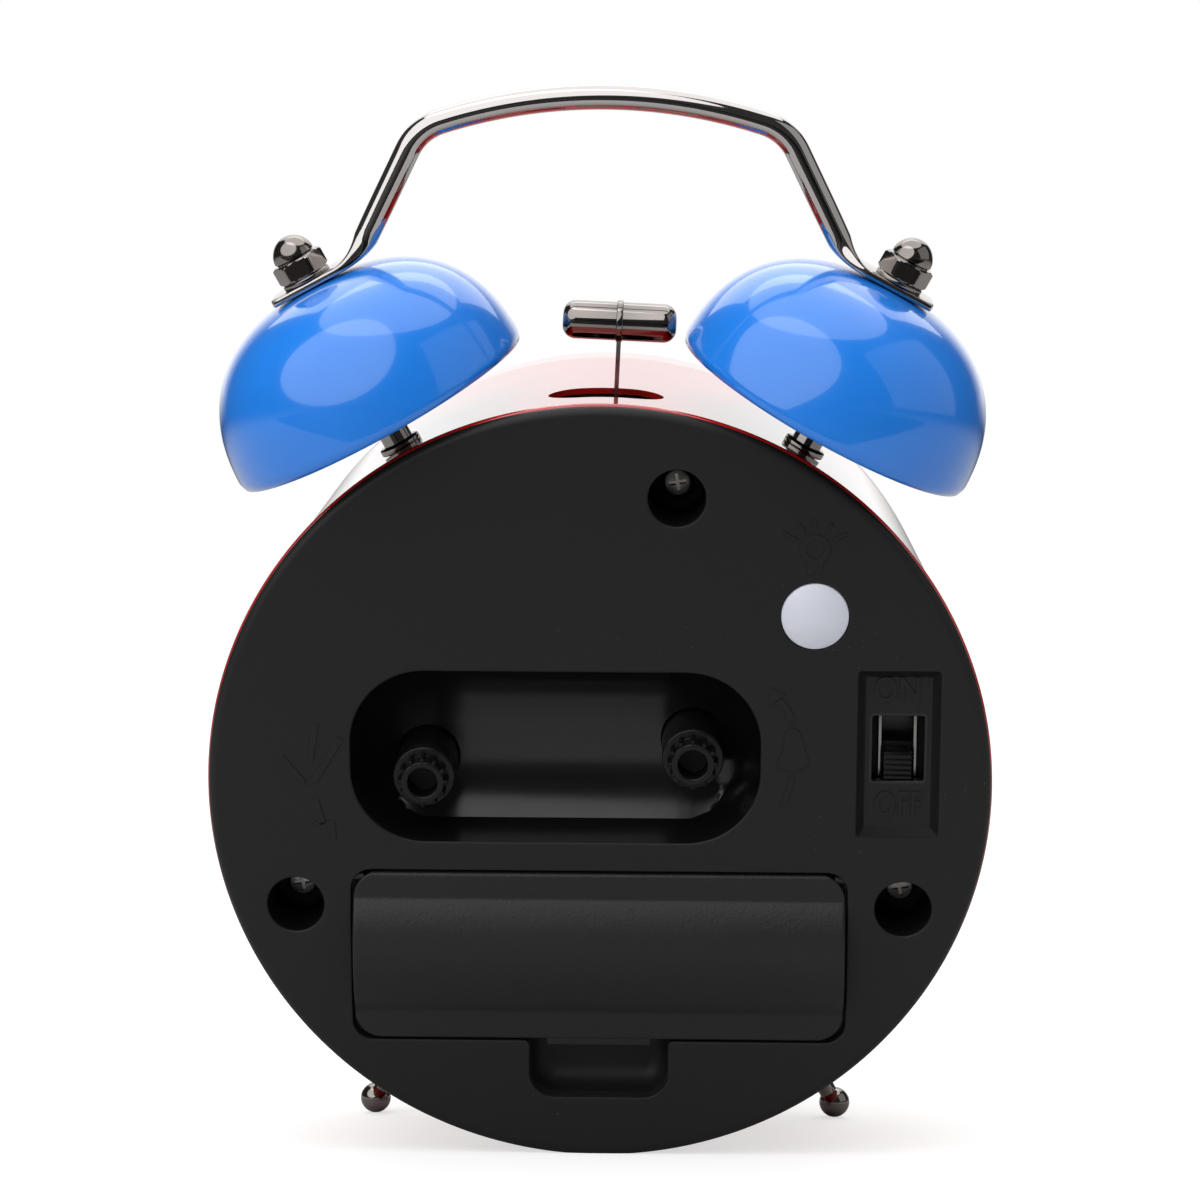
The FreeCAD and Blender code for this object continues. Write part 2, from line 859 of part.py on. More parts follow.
def slider():
    face = -panel_depth - slider_set_back
    half = slider_width / 2
    low = slider_centre_z - slider_height / 2
    high = slider_centre_z + slider_height / 2
    under = switch_face - switch_frame_plate
    cap = box(panel_centre_x - half, panel_centre_x + half, under, face, low, high)
    pitch = slider_height / slider_ridges
    grooves = []
    for number in range(slider_ridges):
        top = low + pitch * (number + 1)
        grooves.append(box(panel_centre_x - slider_width, panel_centre_x + slider_width,
                           face - slider_ridge_depth, face + through, top - pitch / 3, top))
    foot_top = under - seat_gap
    foot = box(panel_centre_x - slider_foot_half, panel_centre_x + slider_foot_half,
               foot_top - slider_foot_height, foot_top, low - slider_foot_lip, high + slider_foot_lip)
    neck = box(panel_centre_x - half, panel_centre_x + half, foot_top - half, switch_face, low, high)
    return joined(less(cap, *grooves), neck, foot)


def switch_frame():
    half = switch_frame_width / 2
    face = switch_face
    wall = switch_frame_plate
    low = window_centre_z - switch_frame_height / 2
    high = window_centre_z + switch_frame_height / 2
    shell = box(panel_centre_x - half, panel_centre_x + half, -board_face, face, low, high)
    hollow = box(panel_centre_x - half + wall, panel_centre_x + half - wall, -board_face - through,
                 face - wall, low - through, high + through)
    gap = switch_rail_gap / 2
    slot = box(panel_centre_x - gap, panel_centre_x + gap, face - through, face + through,
               window_low - slider_play, window_high + slider_play)
    outer = gap + switch_rail_thickness
    rails = [box(panel_centre_x + x0, panel_centre_x + x1, face - wall, face + switch_rail_height,
                 window_low, window_high) for x0, x1 in ((-outer, -gap), (gap, outer))]
    return joined(less(shell, hollow, slot), *rails)


def switch_base():
    half = switch_frame_width / 2 - switch_frame_plate
    low = window_centre_z - switch_frame_height / 2
    high = window_centre_z + switch_frame_height / 2
    return box(panel_centre_x - half, panel_centre_x + half, -board_face,
               -board_face + switch_base_thickness, low, high)


def circuit_board():
    rear, front = -board_face, -board_face - board_thickness
    sheet = box(-board_radius, board_inner_x, front, rear, board_low, board_high)
    sheet = sheet.common(rod(board_radius, front, rear))
    for x, z in board_post_spots:
        sheet = less(sheet, rod(screw_radius + screw_clearance, front - through, rear + through, x, z))
    return sheet


def board_screws():
    screws = []
    front = -board_face - board_thickness
    for x, z in board_post_spots:
        screws.append(joined(rod(screw_head_radius, front - screw_head_height, front, x, z),
                             rod(small_screw_radius, front, front + small_screw_length, x, z)))
    return group(*screws)


# Bells, posts, nuts and handle

def bell_line(radius, height):
    points = []
    steps = 12
    for number in range(steps + 1):
        angle = math.pi / 2 * number / steps
        points.append(V(radius * math.cos(angle) ** (2 / bell_curve), 0,
                        height * math.sin(angle) ** (2 / bell_curve)))
    curve = Part.BSplineCurve()
    curve.interpolate(points)
    return curve.toShape()


def bell():
    outer = bell_line(bell_radius, bell_height)
    inner = bell_line(bell_radius - bell_wall, bell_height - bell_wall)
    top = Part.LineSegment(V(0, 0, bell_height), V(0, 0, bell_height - bell_wall)).toShape()
    rim = Part.LineSegment(V(bell_radius, 0, 0), V(bell_radius - bell_wall, 0, 0)).toShape()
    face = Part.Face(Part.Wire(Part.__sortEdges__([outer, top, inner, rim])))
    cup = face.revolve(V(0, 0, 0), V(0, 0, 1), 360)
    hole = post(thread_radius + thread_clearance, bell_height - 2 * bell_wall, bell_height + through)
    return on_post(less(cup, hole))


# The drum's outside as one block, which trims what stands on it
def drum_side():
    return turned((0, -cover_plate), ((case_radius(-cover_plate), -cover_plate),),
                  ((case_front_radius, -drum_depth),), ((0, -drum_depth),))


def bell_post():
    base = -bell_lift
    shoulder = bell_height - bell_wall
    tip = bell_height + handle_plate + washer_thickness + nut_bore
    inside_collar = base + collar_height / 2
    stem = spun((0, base - post_tail), ((thread_radius, base - post_tail),),
                ((thread_radius, inside_collar),), ((post_radius, inside_collar),),
                ((post_radius, shoulder),), ((thread_radius, shoulder),),
                ((thread_radius, tip),), ((0, tip),))
    collar = on_post(post(collar_radius, base - collar_height, base + collar_height))
    return joined(on_post(stem), less(collar, drum_side()))


# A hexagon whose corners are turned off at both ends
def chamfered_hex(z0, z1):
    wide = nut_flats / 2 * nut_edge_share
    far = wide + 2 * nut_edge_rise
    trim = spun((0, z0), ((wide, z0),), ((far, z0 + nut_edge_rise),), ((far, z1 - nut_edge_rise),),
                ((wide, z1),), ((0, z1),))
    return hexagon(nut_flats, z0, z1).common(trim)


def cap_nut():
    start = bell_height + handle_plate + washer_thickness
    top = start + nut_height
    dome_base = start + nut_hex_height
    knee = top - nut_dome_radius
    diagonal = nut_dome_radius * math.sqrt(0.5)
    low = dome_base - washer_thickness
    dome = spun((0, low), ((nut_dome_radius, low),), ((nut_dome_radius, knee),),
                ((diagonal, knee + diagonal), (0, top)))
    nut = joined(chamfered_hex(start, dome_base), dome)
    return on_post(less(nut, post(thread_radius, start - through, start + nut_bore)))


def washer():
    start = bell_height + handle_plate
    ring = post(washer_radius, start, start + washer_thickness)
    return on_post(less(ring, post(thread_radius + thread_clearance, start - through, start + through)))


def post_nut():
    top = -bell_lift - case_wall - post_nut_gap
    nut = chamfered_hex(top - plain_nut_height, top)
    return on_post(less(nut, post(thread_radius, top - 2 * plain_nut_height, top + through)))


def pair(shape):
    return group(shape, mirrored(shape))


# Centre line of one half of the handle, from the top down to the start of the flat end
def handle_path():
    slope = math.radians(handle_leg_slope)
    tilt = math.radians(bell_tilt)
    centre_z = handle_top - handle_radius - handle_arch
    knee = bell_point(-handle_leg_foot, bell_height + handle_plate / 2)
    up = (-math.sin(slope), math.cos(slope))
    outward = (math.cos(slope), math.sin(slope))
    reach = handle_arch - handle_corner
    shifted = (knee[0] - outward[0] * handle_corner, knee[1] - outward[1] * handle_corner - centre_z)
    along = shifted[0] * up[0] + shifted[1] * up[1]
    apart = shifted[0] ** 2 + shifted[1] ** 2 - reach ** 2
    run = -along + math.sqrt(along ** 2 - apart)
    corner = (shifted[0] + up[0] * run, shifted[1] + up[1] * run)
    share = handle_arch / reach
    arch_end = (corner[0] * share, corner[1] * share + centre_z)
    corner = (corner[0], corner[1] + centre_z)
    leg_top = (corner[0] + outward[0] * handle_corner, corner[1] + outward[1] * handle_corner)
    turn_a = math.atan2(arch_end[1] - corner[1], arch_end[0] - corner[0])
    turn_b = slope
    middle = (corner[0] + handle_corner * math.cos((turn_a + turn_b) / 2),
              corner[1] + handle_corner * math.sin((turn_a + turn_b) / 2))
    bend = math.pi / 2 - slope - tilt
    cut = handle_foot_bend * math.tan(bend / 2)
    leg_low = (knee[0] + up[0] * cut, knee[1] + up[1] * cut)
    flat = (math.cos(tilt), -math.sin(tilt))
    flat_start = (knee[0] + flat[0] * cut, knee[1] + flat[1] * cut)
    bend_centre = (leg_low[0] + outward[0] * handle_foot_bend,
                   leg_low[1] + outward[1] * handle_foot_bend)
    half_turn = slope + math.pi + bend / 2
    bend_middle = (bend_centre[0] + handle_foot_bend * math.cos(half_turn),
                   bend_centre[1] + handle_foot_bend * math.sin(half_turn))
    return arch_end, middle, leg_top, leg_low, bend_middle, flat_start, centre_z


def at_bell_depth(point, side=1):
    return V(side * point[0], bell_y, point[1])


def handle_rod():
    arch_end, middle, leg_top, leg_low, bend_middle, flat_start, centre_z = handle_path()
    top = (0.0, centre_z + handle_arch)
    edges = [Part.LineSegment(at_bell_depth(leg_low, -1), at_bell_depth(leg_top, -1)).toShape(),
             Part.Arc(at_bell_depth(leg_top, -1), at_bell_depth(middle, -1),
                      at_bell_depth(arch_end, -1)).toShape(),
             Part.Arc(at_bell_depth(arch_end, -1), at_bell_depth(top), at_bell_depth(arch_end)).toShape(),
             Part.Arc(at_bell_depth(arch_end), at_bell_depth(middle), at_bell_depth(leg_top)).toShape(),
             Part.LineSegment(at_bell_depth(leg_top), at_bell_depth(leg_low)).toShape()]
    path = Part.Wire(edges)
    start = at_bell_depth(leg_low, -1)
    along = at_bell_depth(leg_top, -1) - start
    ring = Part.Wire([Part.makeCircle(handle_radius, start, along)])
    return path.makePipeShell([ring], True, False)


# The hammered end: the rod's circle spreads into the flat plate round the bend
def handle_end():
    path = handle_path()
    leg_low, bend_middle, flat_start = path[3], path[4], path[5]
    slope = math.radians(handle_leg_slope)
    tilt = math.radians(bell_tilt)
    bend = math.pi / 2 - slope - tilt
    half_width = handle_plate_width / 2
    stations = [(leg_low, slope, handle_radius, handle_radius),
                (bend_middle, slope + bend / 2, handle_spread, handle_spread_half),
                (flat_start, slope + bend, half_width, handle_end_half)]
    rings = []
    for spot, turn, wide, thick in stations:
        across = V(math.cos(turn), 0, math.sin(turn))
        middle = at_bell_depth(spot)
        ends = middle + V(0, wide, 0)
        sides = middle + across * thick
        if wide > thick:
            ring = Part.Ellipse(ends, sides, middle).toShape()
        else:
            ring = Part.makeCircle(thick, middle, across.cross(V(0, 1, 0)))
        rings.append(Part.Wire([ring]))
    return Part.makeLoft(rings, True, False)


def handle_tongue():
    z0, z1 = bell_height, bell_height + handle_plate
    half = handle_plate_width / 2
    start = handle_foot_bend * math.tan((math.pi / 2 - math.radians(handle_leg_slope + bell_tilt)) / 2)
    x0 = -handle_leg_foot + start
    flat = box(x0, handle_plate_reach, -half, half, z0, z1)
    hole = post(thread_radius + thread_clearance, z0 - through, z1 + through)
    return on_post(less(flat, hole))


def handle():
    end = joined(handle_end(), handle_tongue())
    return joined(handle_rod(), end, mirrored(end))


# Hammer and striker magnet

def on_pivot(shape):
    return turned_about_y(shape, hammer_rest_tilt, pivot_x, bell_y, pivot_z)


def strip_block(low, high):
    return box(-strip_thickness / 2, strip_thickness / 2, -strip_width / 2, strip_width / 2, low, high)


def hammer_head():
    half = hammer_length / 2
    body = bar(hammer_radius, -half, half, 0, hammer_arm)
    body = body.makeFillet(hammer_round, [edge for edge in body.Edges if edge.Closed])
    band = bar(hammer_band_radius, -hammer_band / 2, hammer_band / 2, 0, hammer_arm)
    return on_pivot(less(joined(body, band), strip_block(0, hammer_arm)))


def hammer_arm_strip():
    half = hammer_hub_length / 2
    hub = Part.makeCylinder(hammer_hub_radius, hammer_hub_length, V(0, -half, 0), V(0, 1, 0))
    low = coil_z - pivot_z
    tail = box(-strip_thickness, strip_thickness, -half, half, low + armature_height / 2, 0)
    strip = strip_block(hammer_hub_radius / 2, hammer_arm)
    bore = Part.makeCylinder(pivot_pin_radius + bearing_clearance, 2 * hammer_hub_length,
                             V(0, -hammer_hub_length, 0), V(0, 1, 0))
    return on_pivot(less(joined(hub, strip, tail), bore))


def armature():
    low = coil_z - pivot_z - armature_height / 2
    return on_pivot(box(-armature_thickness / 2, armature_thickness / 2,
                        -armature_width / 2, armature_width / 2, low, low + armature_height))


coil_start = core_gap + core_reach
coil_end = coil_start + coil_length + 2 * bobbin_flange


def striker_core():
    return bar(core_radius, core_gap, coil_end + bracket_plate, bell_y, coil_z)


def striker_bobbin():
    left = bar(bobbin_radius, coil_start, coil_start + bobbin_flange, bell_y, coil_z)
    right = bar(bobbin_radius, coil_end - bobbin_flange, coil_end, bell_y, coil_z)
    barrel = bar(core_radius + bobbin_wall, coil_start, coil_end, bell_y, coil_z)
    return less(joined(left, right, barrel), bar(core_radius, 0, coil_end + through, bell_y, coil_z))


def striker_coil():
    start, end = coil_start + bobbin_flange, coil_end - bobbin_flange
    return less(bar(coil_radius, start, end, bell_y, coil_z),
                bar(core_radius + bobbin_wall, start - through, end + through, bell_y, coil_z))


bracket_face = movement_rear + bracket_plate
bracket_screw_z = coil_z - bracket_screw_drop
bracket_screw_spots = [(pivot_x - bracket_screw_left, bracket_screw_z),
                       (coil_end - bracket_screw_right, bracket_screw_z)]


def striker_bracket():
    base = rounded_box(pivot_x - bracket_left_reach, coil_end + bracket_plate, movement_rear, bracket_face,
                       coil_z - bracket_low_reach, pivot_z + bracket_high_reach, bracket_corner)
    upright = box(coil_end, coil_end + bracket_plate, movement_rear, bell_y + bobbin_radius,
                  coil_z - bracket_arm_half, coil_z + bracket_arm_half)
    hub_half = hammer_hub_length / 2
    pin_end = bell_y + hub_half + pivot_end_play + clip_thickness + pivot_step
    pin = rod(pivot_pin_radius, movement_rear, pin_end, pivot_x, pivot_z)
    step = rod(pivot_pin_radius + pivot_step, movement_rear, bell_y - hub_half - pivot_end_play,
               pivot_x, pivot_z)
    bracket = less(joined(base, upright, pin, step),
                   bar(core_radius, coil_end - through, coil_end + 2 * bracket_plate, bell_y, coil_z))
    for x, z in bracket_screw_spots:
        bracket = less(bracket, rod(screw_radius + screw_clearance, movement_rear - through,
                                    bracket_face + through, x, z))
    return bracket


def pivot_clip():
    start = bell_y + hammer_hub_length / 2 + pivot_end_play
    return tube(pivot_pin_radius + clip_wall, pivot_pin_radius, start, start + clip_thickness,
                pivot_x, pivot_z)


def bracket_screws():
    return group(*[joined(rod(screw_head_radius, bracket_face, bracket_face + screw_head_height, x, z),
                          rod(small_screw_radius, inner_rear + bearing_floor, bracket_face, x, z))
                   for x, z in bracket_screw_spots])


# Feet

def foot():
    base = case_radius(foot_y)
    neck_end = foot_reach - math.sqrt(foot_ball ** 2 - foot_neck ** 2)
    cone = spun((0, base - foot_seat), ((foot_base, base - foot_seat),),
                ((foot_base, base + foot_base_height),), ((foot_neck, neck_end),), ((0, neck_end),))
    thread = post(thread_radius, base - foot_thread_tail, base + foot_base_height)
    ball = Part.makeSphere(foot_ball, V(0, 0, foot_reach))
    return joined(less(on_foot(cone), drum_side()), on_foot(thread), on_foot(ball))


def foot_nut():
    top = case_radius(foot_y) - case_wall - foot_nut_gap
    nut = chamfered_hex(top - plain_nut_height, top)
    return on_foot(less(nut, post(thread_radius, top - 2 * plain_nut_height, top + through)))


# Front of the clock

def front_bezel():
    lens_front = lens_y - lens_thickness
    lip_front = lens_front - bezel_lip
    outer = case_front_radius - bezel_step
    skirt_outer = case_room(frame_front, -drum_depth) - seat_gap
    bend = bezel_lip_round * (1 - math.sqrt(0.5))
    return turned((bezel_inner, lens_front), ((bezel_bore, lens_front),),
                  ((bezel_bore, frame_front),), ((skirt_outer, frame_front),),
                  ((skirt_outer, -drum_depth),), ((outer, -drum_depth),),
                  ((outer, lip_front + bezel_lip_round),),
                  ((outer - bend, lip_front + bend), (outer - bezel_lip_round, lip_front)),
                  ((bezel_inner + bezel_lip_edge, lip_front),))


def lens():
    return rod(light_ring_outer, lens_y - lens_thickness, lens_y)


def light_ring():
    return tube(light_ring_outer, bezel_inner, lens_y, frame_front)


def dial():
    return less(rod(dial_radius, dial_y, frame_front),
                rod(neck_radius + ring_gap, dial_y - through, frame_front + through))


def dial_frame():
    body = rod(case_room(frame_front, frame_rear) - dial_frame_gap, frame_front, frame_rear)
    for x, z in well_spots:
        body = joined(body, rod(pillar_radius, frame_rear, -well_depth - moulding_wall, x, z))
    body = less(body, rod(neck_radius + ring_gap, frame_front - through, frame_rear + through))
    for x, z in well_spots:
        body = less(body, rod(screw_radius, -well_depth - screw_length, -well_depth, x, z))
    x, z = polar(light_ring_outer - lamp_radius, lamp_angle)
    return less(body, rod(lamp_radius + bearing_clearance, frame_front - through, frame_rear + through, x, z))


def lamp():
    x, z = polar(light_ring_outer - lamp_radius, lamp_angle)
    half, end = lamp_base_half, frame_rear + lamp_base_height
    return joined(rod(lamp_radius, frame_front, end, x, z),
                  box(x - half, x + half, frame_rear, end, z - half, z + half))


# Hands: a tapered blade with a boss, pressed on its tube and pointing at an angle from twelve
def hand(length, tail, width, boss, tube_radius, y_front, angle):
    y_rear = y_front + hand_thickness
    shoulder = length - 2 * hand_point * width
    blade = plate(y_front, y_rear, (-width / 2, -tail), ((width / 2, -tail),),
                  ((width / 2, shoulder),), ((0, length),), ((-width / 2, shoulder),))
    ring = rod(boss, y_front, y_rear + hand_boss_depth)
    turned_blade = turned_about_y(joined(blade, ring), angle, 0, 0, 0)
    return less(turned_blade, rod(tube_radius, y_front - through, y_rear + through))


alarm_hand_y = dial_y - hand_neck_gap - hand_thickness
hour_hand_y = alarm_hand_y - hand_pitch
minute_hand_y = hour_hand_y - hand_pitch
second_hand_y = minute_hand_y - hand_pitch


def alarm_hand():
    return hand(alarm_hand_length, 0, alarm_hand_width, alarm_boss_radius, alarm_tube_radius,
                alarm_hand_y, alarm_hand_angle)


def hour_hand():
    return hand(hour_hand_length, hour_hand_tail, hour_hand_width, hour_boss_radius, hour_tube_radius,
                hour_hand_y, hour_hand_angle)


def minute_hand():
    return hand(minute_hand_length, minute_hand_tail, minute_hand_width, minute_boss_radius,
                minute_tube_radius, minute_hand_y, minute_hand_angle)


def second_hand():
    return hand(second_hand_length, second_hand_tail, second_hand_width, second_boss_radius,
                arbor_radius, second_hand_y, second_hand_angle)


# Movement housing

def housing_block(margin, y0, y1):
    return rounded_box(movement_left + margin, movement_right - margin, y0, y1,
                       movement_low + margin, movement_high - margin, movement_corner - margin)


housing_screw_spots = [(x, z) for x in (movement_left + housing_pillar_inset,
                                        movement_right - housing_pillar_inset)
                       for z in (movement_low + housing_pillar_inset, movement_high - housing_pillar_inset)]


def front_housing():
    wall = movement_wall
    neck_end = dial_y - housing_neck_gap
    shell = less(housing_block(0, movement_front, movement_seam),
                 housing_block(wall, inner_front, movement_seam + through))
    pillars = [rod(housing_pillar_radius, movement_front, movement_seam, x, z)
               for x, z in housing_screw_spots]
    neck = rod(neck_radius, neck_end, movement_front + wall / 2)
    shell = joined(shell, neck, *pillars)
    shell = less(shell, rod(alarm_tube_radius + bearing_clearance, neck_end - through, inner_front + through))
    for x, z in housing_screw_spots:
        shell = less(shell, rod(small_screw_radius, movement_front + wall, movement_seam + through, x, z))
    for (x, z), radius in ((minute_axis, arbor_radius), (time_axis, shaft_radius),
                           (alarm_axis, shaft_radius)):
        shell = less(shell, rod(radius + bearing_clearance, inner_front - bearing_depth,
                                inner_front + through, x, z))
    return shell


def rear_housing():
    wall = movement_wall
    shell = less(housing_block(0, movement_seam, movement_rear),
                 housing_block(wall, movement_seam - through, inner_rear))
    pillars = [rod(housing_pillar_radius, movement_seam, movement_rear, x, z) for x, z in housing_screw_spots]
    shell = joined(shell, *pillars)
    for x, z in housing_screw_spots:
        shell = less(shell, rod(screw_radius + screw_clearance, movement_seam - through,
                                movement_rear + through, x, z))
    for x, z in (time_axis, alarm_axis):
        shell = less(shell, rod(shaft_radius + bearing_clearance, inner_rear - through,
                                movement_rear + through, x, z))
    for x, z in (main_axis, third_axis, intermediate_axis, rotor_axis):
        shell = less(shell, rod(arbor_radius + bearing_clearance, inner_rear - through,
                                inner_rear + bearing_depth, x, z))
    for x, z in bracket_screw_spots:
        shell = less(shell, rod(small_screw_radius, inner_rear - through, movement_rear + through, x, z))
    return shell


def housing_screws():
    return group(*[joined(rod(screw_head_radius, movement_rear, movement_rear + screw_head_height, x, z),
                          rod(small_screw_radius, movement_seam - small_screw_length, movement_rear, x, z))
                   for x, z in housing_screw_spots])


def middle_plate():
    front = layer(4)
    sheet = housing_block(movement_wall + bearing_clearance, front, front + gear_face)
    holes = [(spot, housing_pillar_radius + screw_clearance) for spot in housing_screw_spots]
    holes += [(spot, arbor_radius + bearing_clearance)
              for spot in (main_axis, third_axis, intermediate_axis, rotor_axis)]
    holes += [(spot, shaft_radius + bearing_clearance) for spot in (time_axis, alarm_axis)]
    for (x, z), radius in holes:
        sheet = less(sheet, rod(radius, front - through, front + gear_face + through, x, z))
    return sheet


# Trains: the first tooth of each wheel points where it meshes with its driver

time_phase = 0.0
minute_wheel_phase = meshed(time_gear_teeth, time_phase, time_axis, minute_wheel_teeth, minute_axis)
cannon_phase = meshed(minute_wheel_teeth, minute_wheel_phase, minute_axis, cannon_teeth, main_axis)
hour_phase = meshed(minute_pinion_teeth, minute_wheel_phase, minute_axis, hour_teeth, main_axis)
alarm_phase = meshed(alarm_gear_teeth, 0.0, alarm_axis, alarm_wheel_teeth, main_axis)
third_phase = meshed(second_pinion_teeth, 0.0, main_axis, third_teeth, third_axis)
centre_phase = meshed(third_pinion_teeth, third_phase, third_axis, centre_teeth, main_axis)
intermediate_phase = meshed(second_teeth, 0.0, main_axis, intermediate_pinion_teeth, intermediate_axis)
rotor_phase = meshed(intermediate_teeth, intermediate_phase, intermediate_axis, rotor_teeth, rotor_axis)


def second_wheel():
    arbor = rod(arbor_radius, second_hand_y - tube_proud, arbor_end)
    return joined(arbor, gear_on_layer(second_pinion_teeth, train_module, 5, main_axis, 0.0),
                  gear_on_layer(second_teeth, train_module, 6, main_axis, 0.0),
                  rod(arbor_radius + hub_wall, layer(5), layer(6) + gear_face))


def third_wheel():
    x, z = third_axis
    arbor = rod(arbor_radius, layer(3), arbor_end, x, z)
    return joined(arbor, gear_on_layer(third_pinion_teeth, centre_module, 3, third_axis, third_phase),
                  gear_on_layer(third_teeth, train_module, 5, third_axis, third_phase))


def centre_wheel():
    wheel = gear_on_layer(centre_teeth, centre_module, 3, main_axis, centre_phase)
    return less(wheel, rod(minute_tube_radius + bearing_clearance, layer(3) - through, layer(4)))


def intermediate_wheel():
    x, z = intermediate_axis
    arbor = rod(arbor_radius, layer(4) + arbor_end_play, arbor_end, x, z)
    return joined(arbor,
                  gear_on_layer(intermediate_pinion_teeth, train_module, 6, intermediate_axis,
                                intermediate_phase),
                  gear_on_layer(intermediate_teeth, train_module, 7, intermediate_axis,
                                intermediate_phase))


stator_middle = inner_rear - motor_coil_radius - motor_coil_gap


def rotor():
    x, z = rotor_axis
    arbor = rod(arbor_radius, layer(4) + arbor_end_play, arbor_end, x, z)
    return joined(arbor, gear_on_layer(rotor_teeth, train_module, 7, rotor_axis, rotor_phase),
                  rod(magnet_radius, stator_middle - magnet_length / 2,
                      stator_middle + magnet_length / 2, x, z))


stator_front = stator_middle - stator_thickness / 2
stator_low = rotor_axis[1] - magnet_radius
stator_coil_z = rotor_axis[1] + motor_coil_rise
motor_coil_start = stator_left + stator_upright + motor_coil_gap


def stator():
    rear = stator_front + stator_thickness
    x, z = rotor_axis
    wide = 2 * stator_bar_half
    arm_low, arm_high = stator_coil_z - stator_bar_half, stator_coil_z + stator_bar_half
    ring = rod(magnet_radius + stator_gap + wide, stator_front, rear, x, z)
    right = box(x - wide, x + wide, stator_front, rear, z, arm_high)
    upper = box(stator_left, x, stator_front, rear, arm_low, arm_high)
    left = box(stator_left, stator_left + stator_upright, stator_front, rear, stator_low, arm_high)
    lower = box(stator_left, x, stator_front, rear, stator_low, stator_low + wide)
    return less(joined(ring, right, upper, left, lower),
                rod(magnet_radius + stator_gap, stator_front - through, rear + through, x, z))


def motor_coil():
    start, end = motor_coil_start, motor_coil_start + motor_coil_length
    spool = bar(motor_coil_radius, start, end, stator_middle, stator_coil_z)
    bore = box(start - through, end + through, stator_front, stator_front + stator_thickness,
               stator_coil_z - stator_bar_half, stator_coil_z + stator_bar_half)
    return less(spool, bore)


def cannon_pinion():
    body = joined(rod(minute_tube_radius, minute_hand_y - tube_proud, layer(3) + gear_face),
                  gear_on_layer(cannon_teeth, hand_module, 2, main_axis, cannon_phase))
    return less(body, rod(arbor_radius + bearing_clearance, minute_hand_y - hand_pitch, layer(4)))


def minute_wheel():
    x, z = minute_axis
    arbor = rod(arbor_radius, arbor_start, layer(2) + gear_face + tube_proud, x, z)
    return joined(arbor,
                  gear_on_layer(minute_pinion_teeth, hour_module, 1, minute_axis, minute_wheel_phase),
                  gear_on_layer(minute_wheel_teeth, hand_module, 2, minute_axis, minute_wheel_phase),
                  rod(arbor_radius + hub_wall, layer(1), layer(2) + gear_face, x, z))


def hour_wheel():
    body = joined(rod(hour_tube_radius, hour_hand_y - tube_proud, layer(1) + gear_face),
                  gear_on_layer(hour_teeth, hour_module, 1, main_axis, hour_phase))
    return less(body, rod(minute_tube_radius + bearing_clearance, hour_hand_y - hand_pitch, layer(2)))


def alarm_wheel():
    body = joined(rod(alarm_tube_radius, alarm_hand_y - tube_proud, layer(0) + gear_face),
                  gear_on_layer(alarm_wheel_teeth, alarm_module, 0, main_axis, alarm_phase))
    return less(body, rod(hour_tube_radius + bearing_clearance, alarm_hand_y - hand_pitch, layer(1)))


def setting_shaft(axis, teeth, module, number):
    x, z = axis
    end = -knob_grip - shaft_socket / 2
    shaft = rod(shaft_radius, arbor_start, end, x, z)
    return joined(shaft, gear_on_layer(teeth, module, number, axis, 0.0))


def knob(axis):
    x, z = axis
    low = -recess_depth - moulding_wall - knob_tail
    half = knob_rib_width / 2
    body = joined(rod(knob_radius, low, -knob_grip, x, z), rod(knob_hub_radius, -knob_grip - half, 0, x, z))
    for number in range(knob_ribs):
        rib = box(0, knob_rib_radius, -knob_grip - half, 0, -half, half)
        body = joined(body, turned_about_y(rib, 360.0 * number / knob_ribs, x, 0, z))
    body = less(body, rod(knob_bore_radius, -knob_bore_depth, through, x, z))
    return less(body, rod(shaft_radius, low - through, -knob_grip - shaft_socket / 2, x, z))


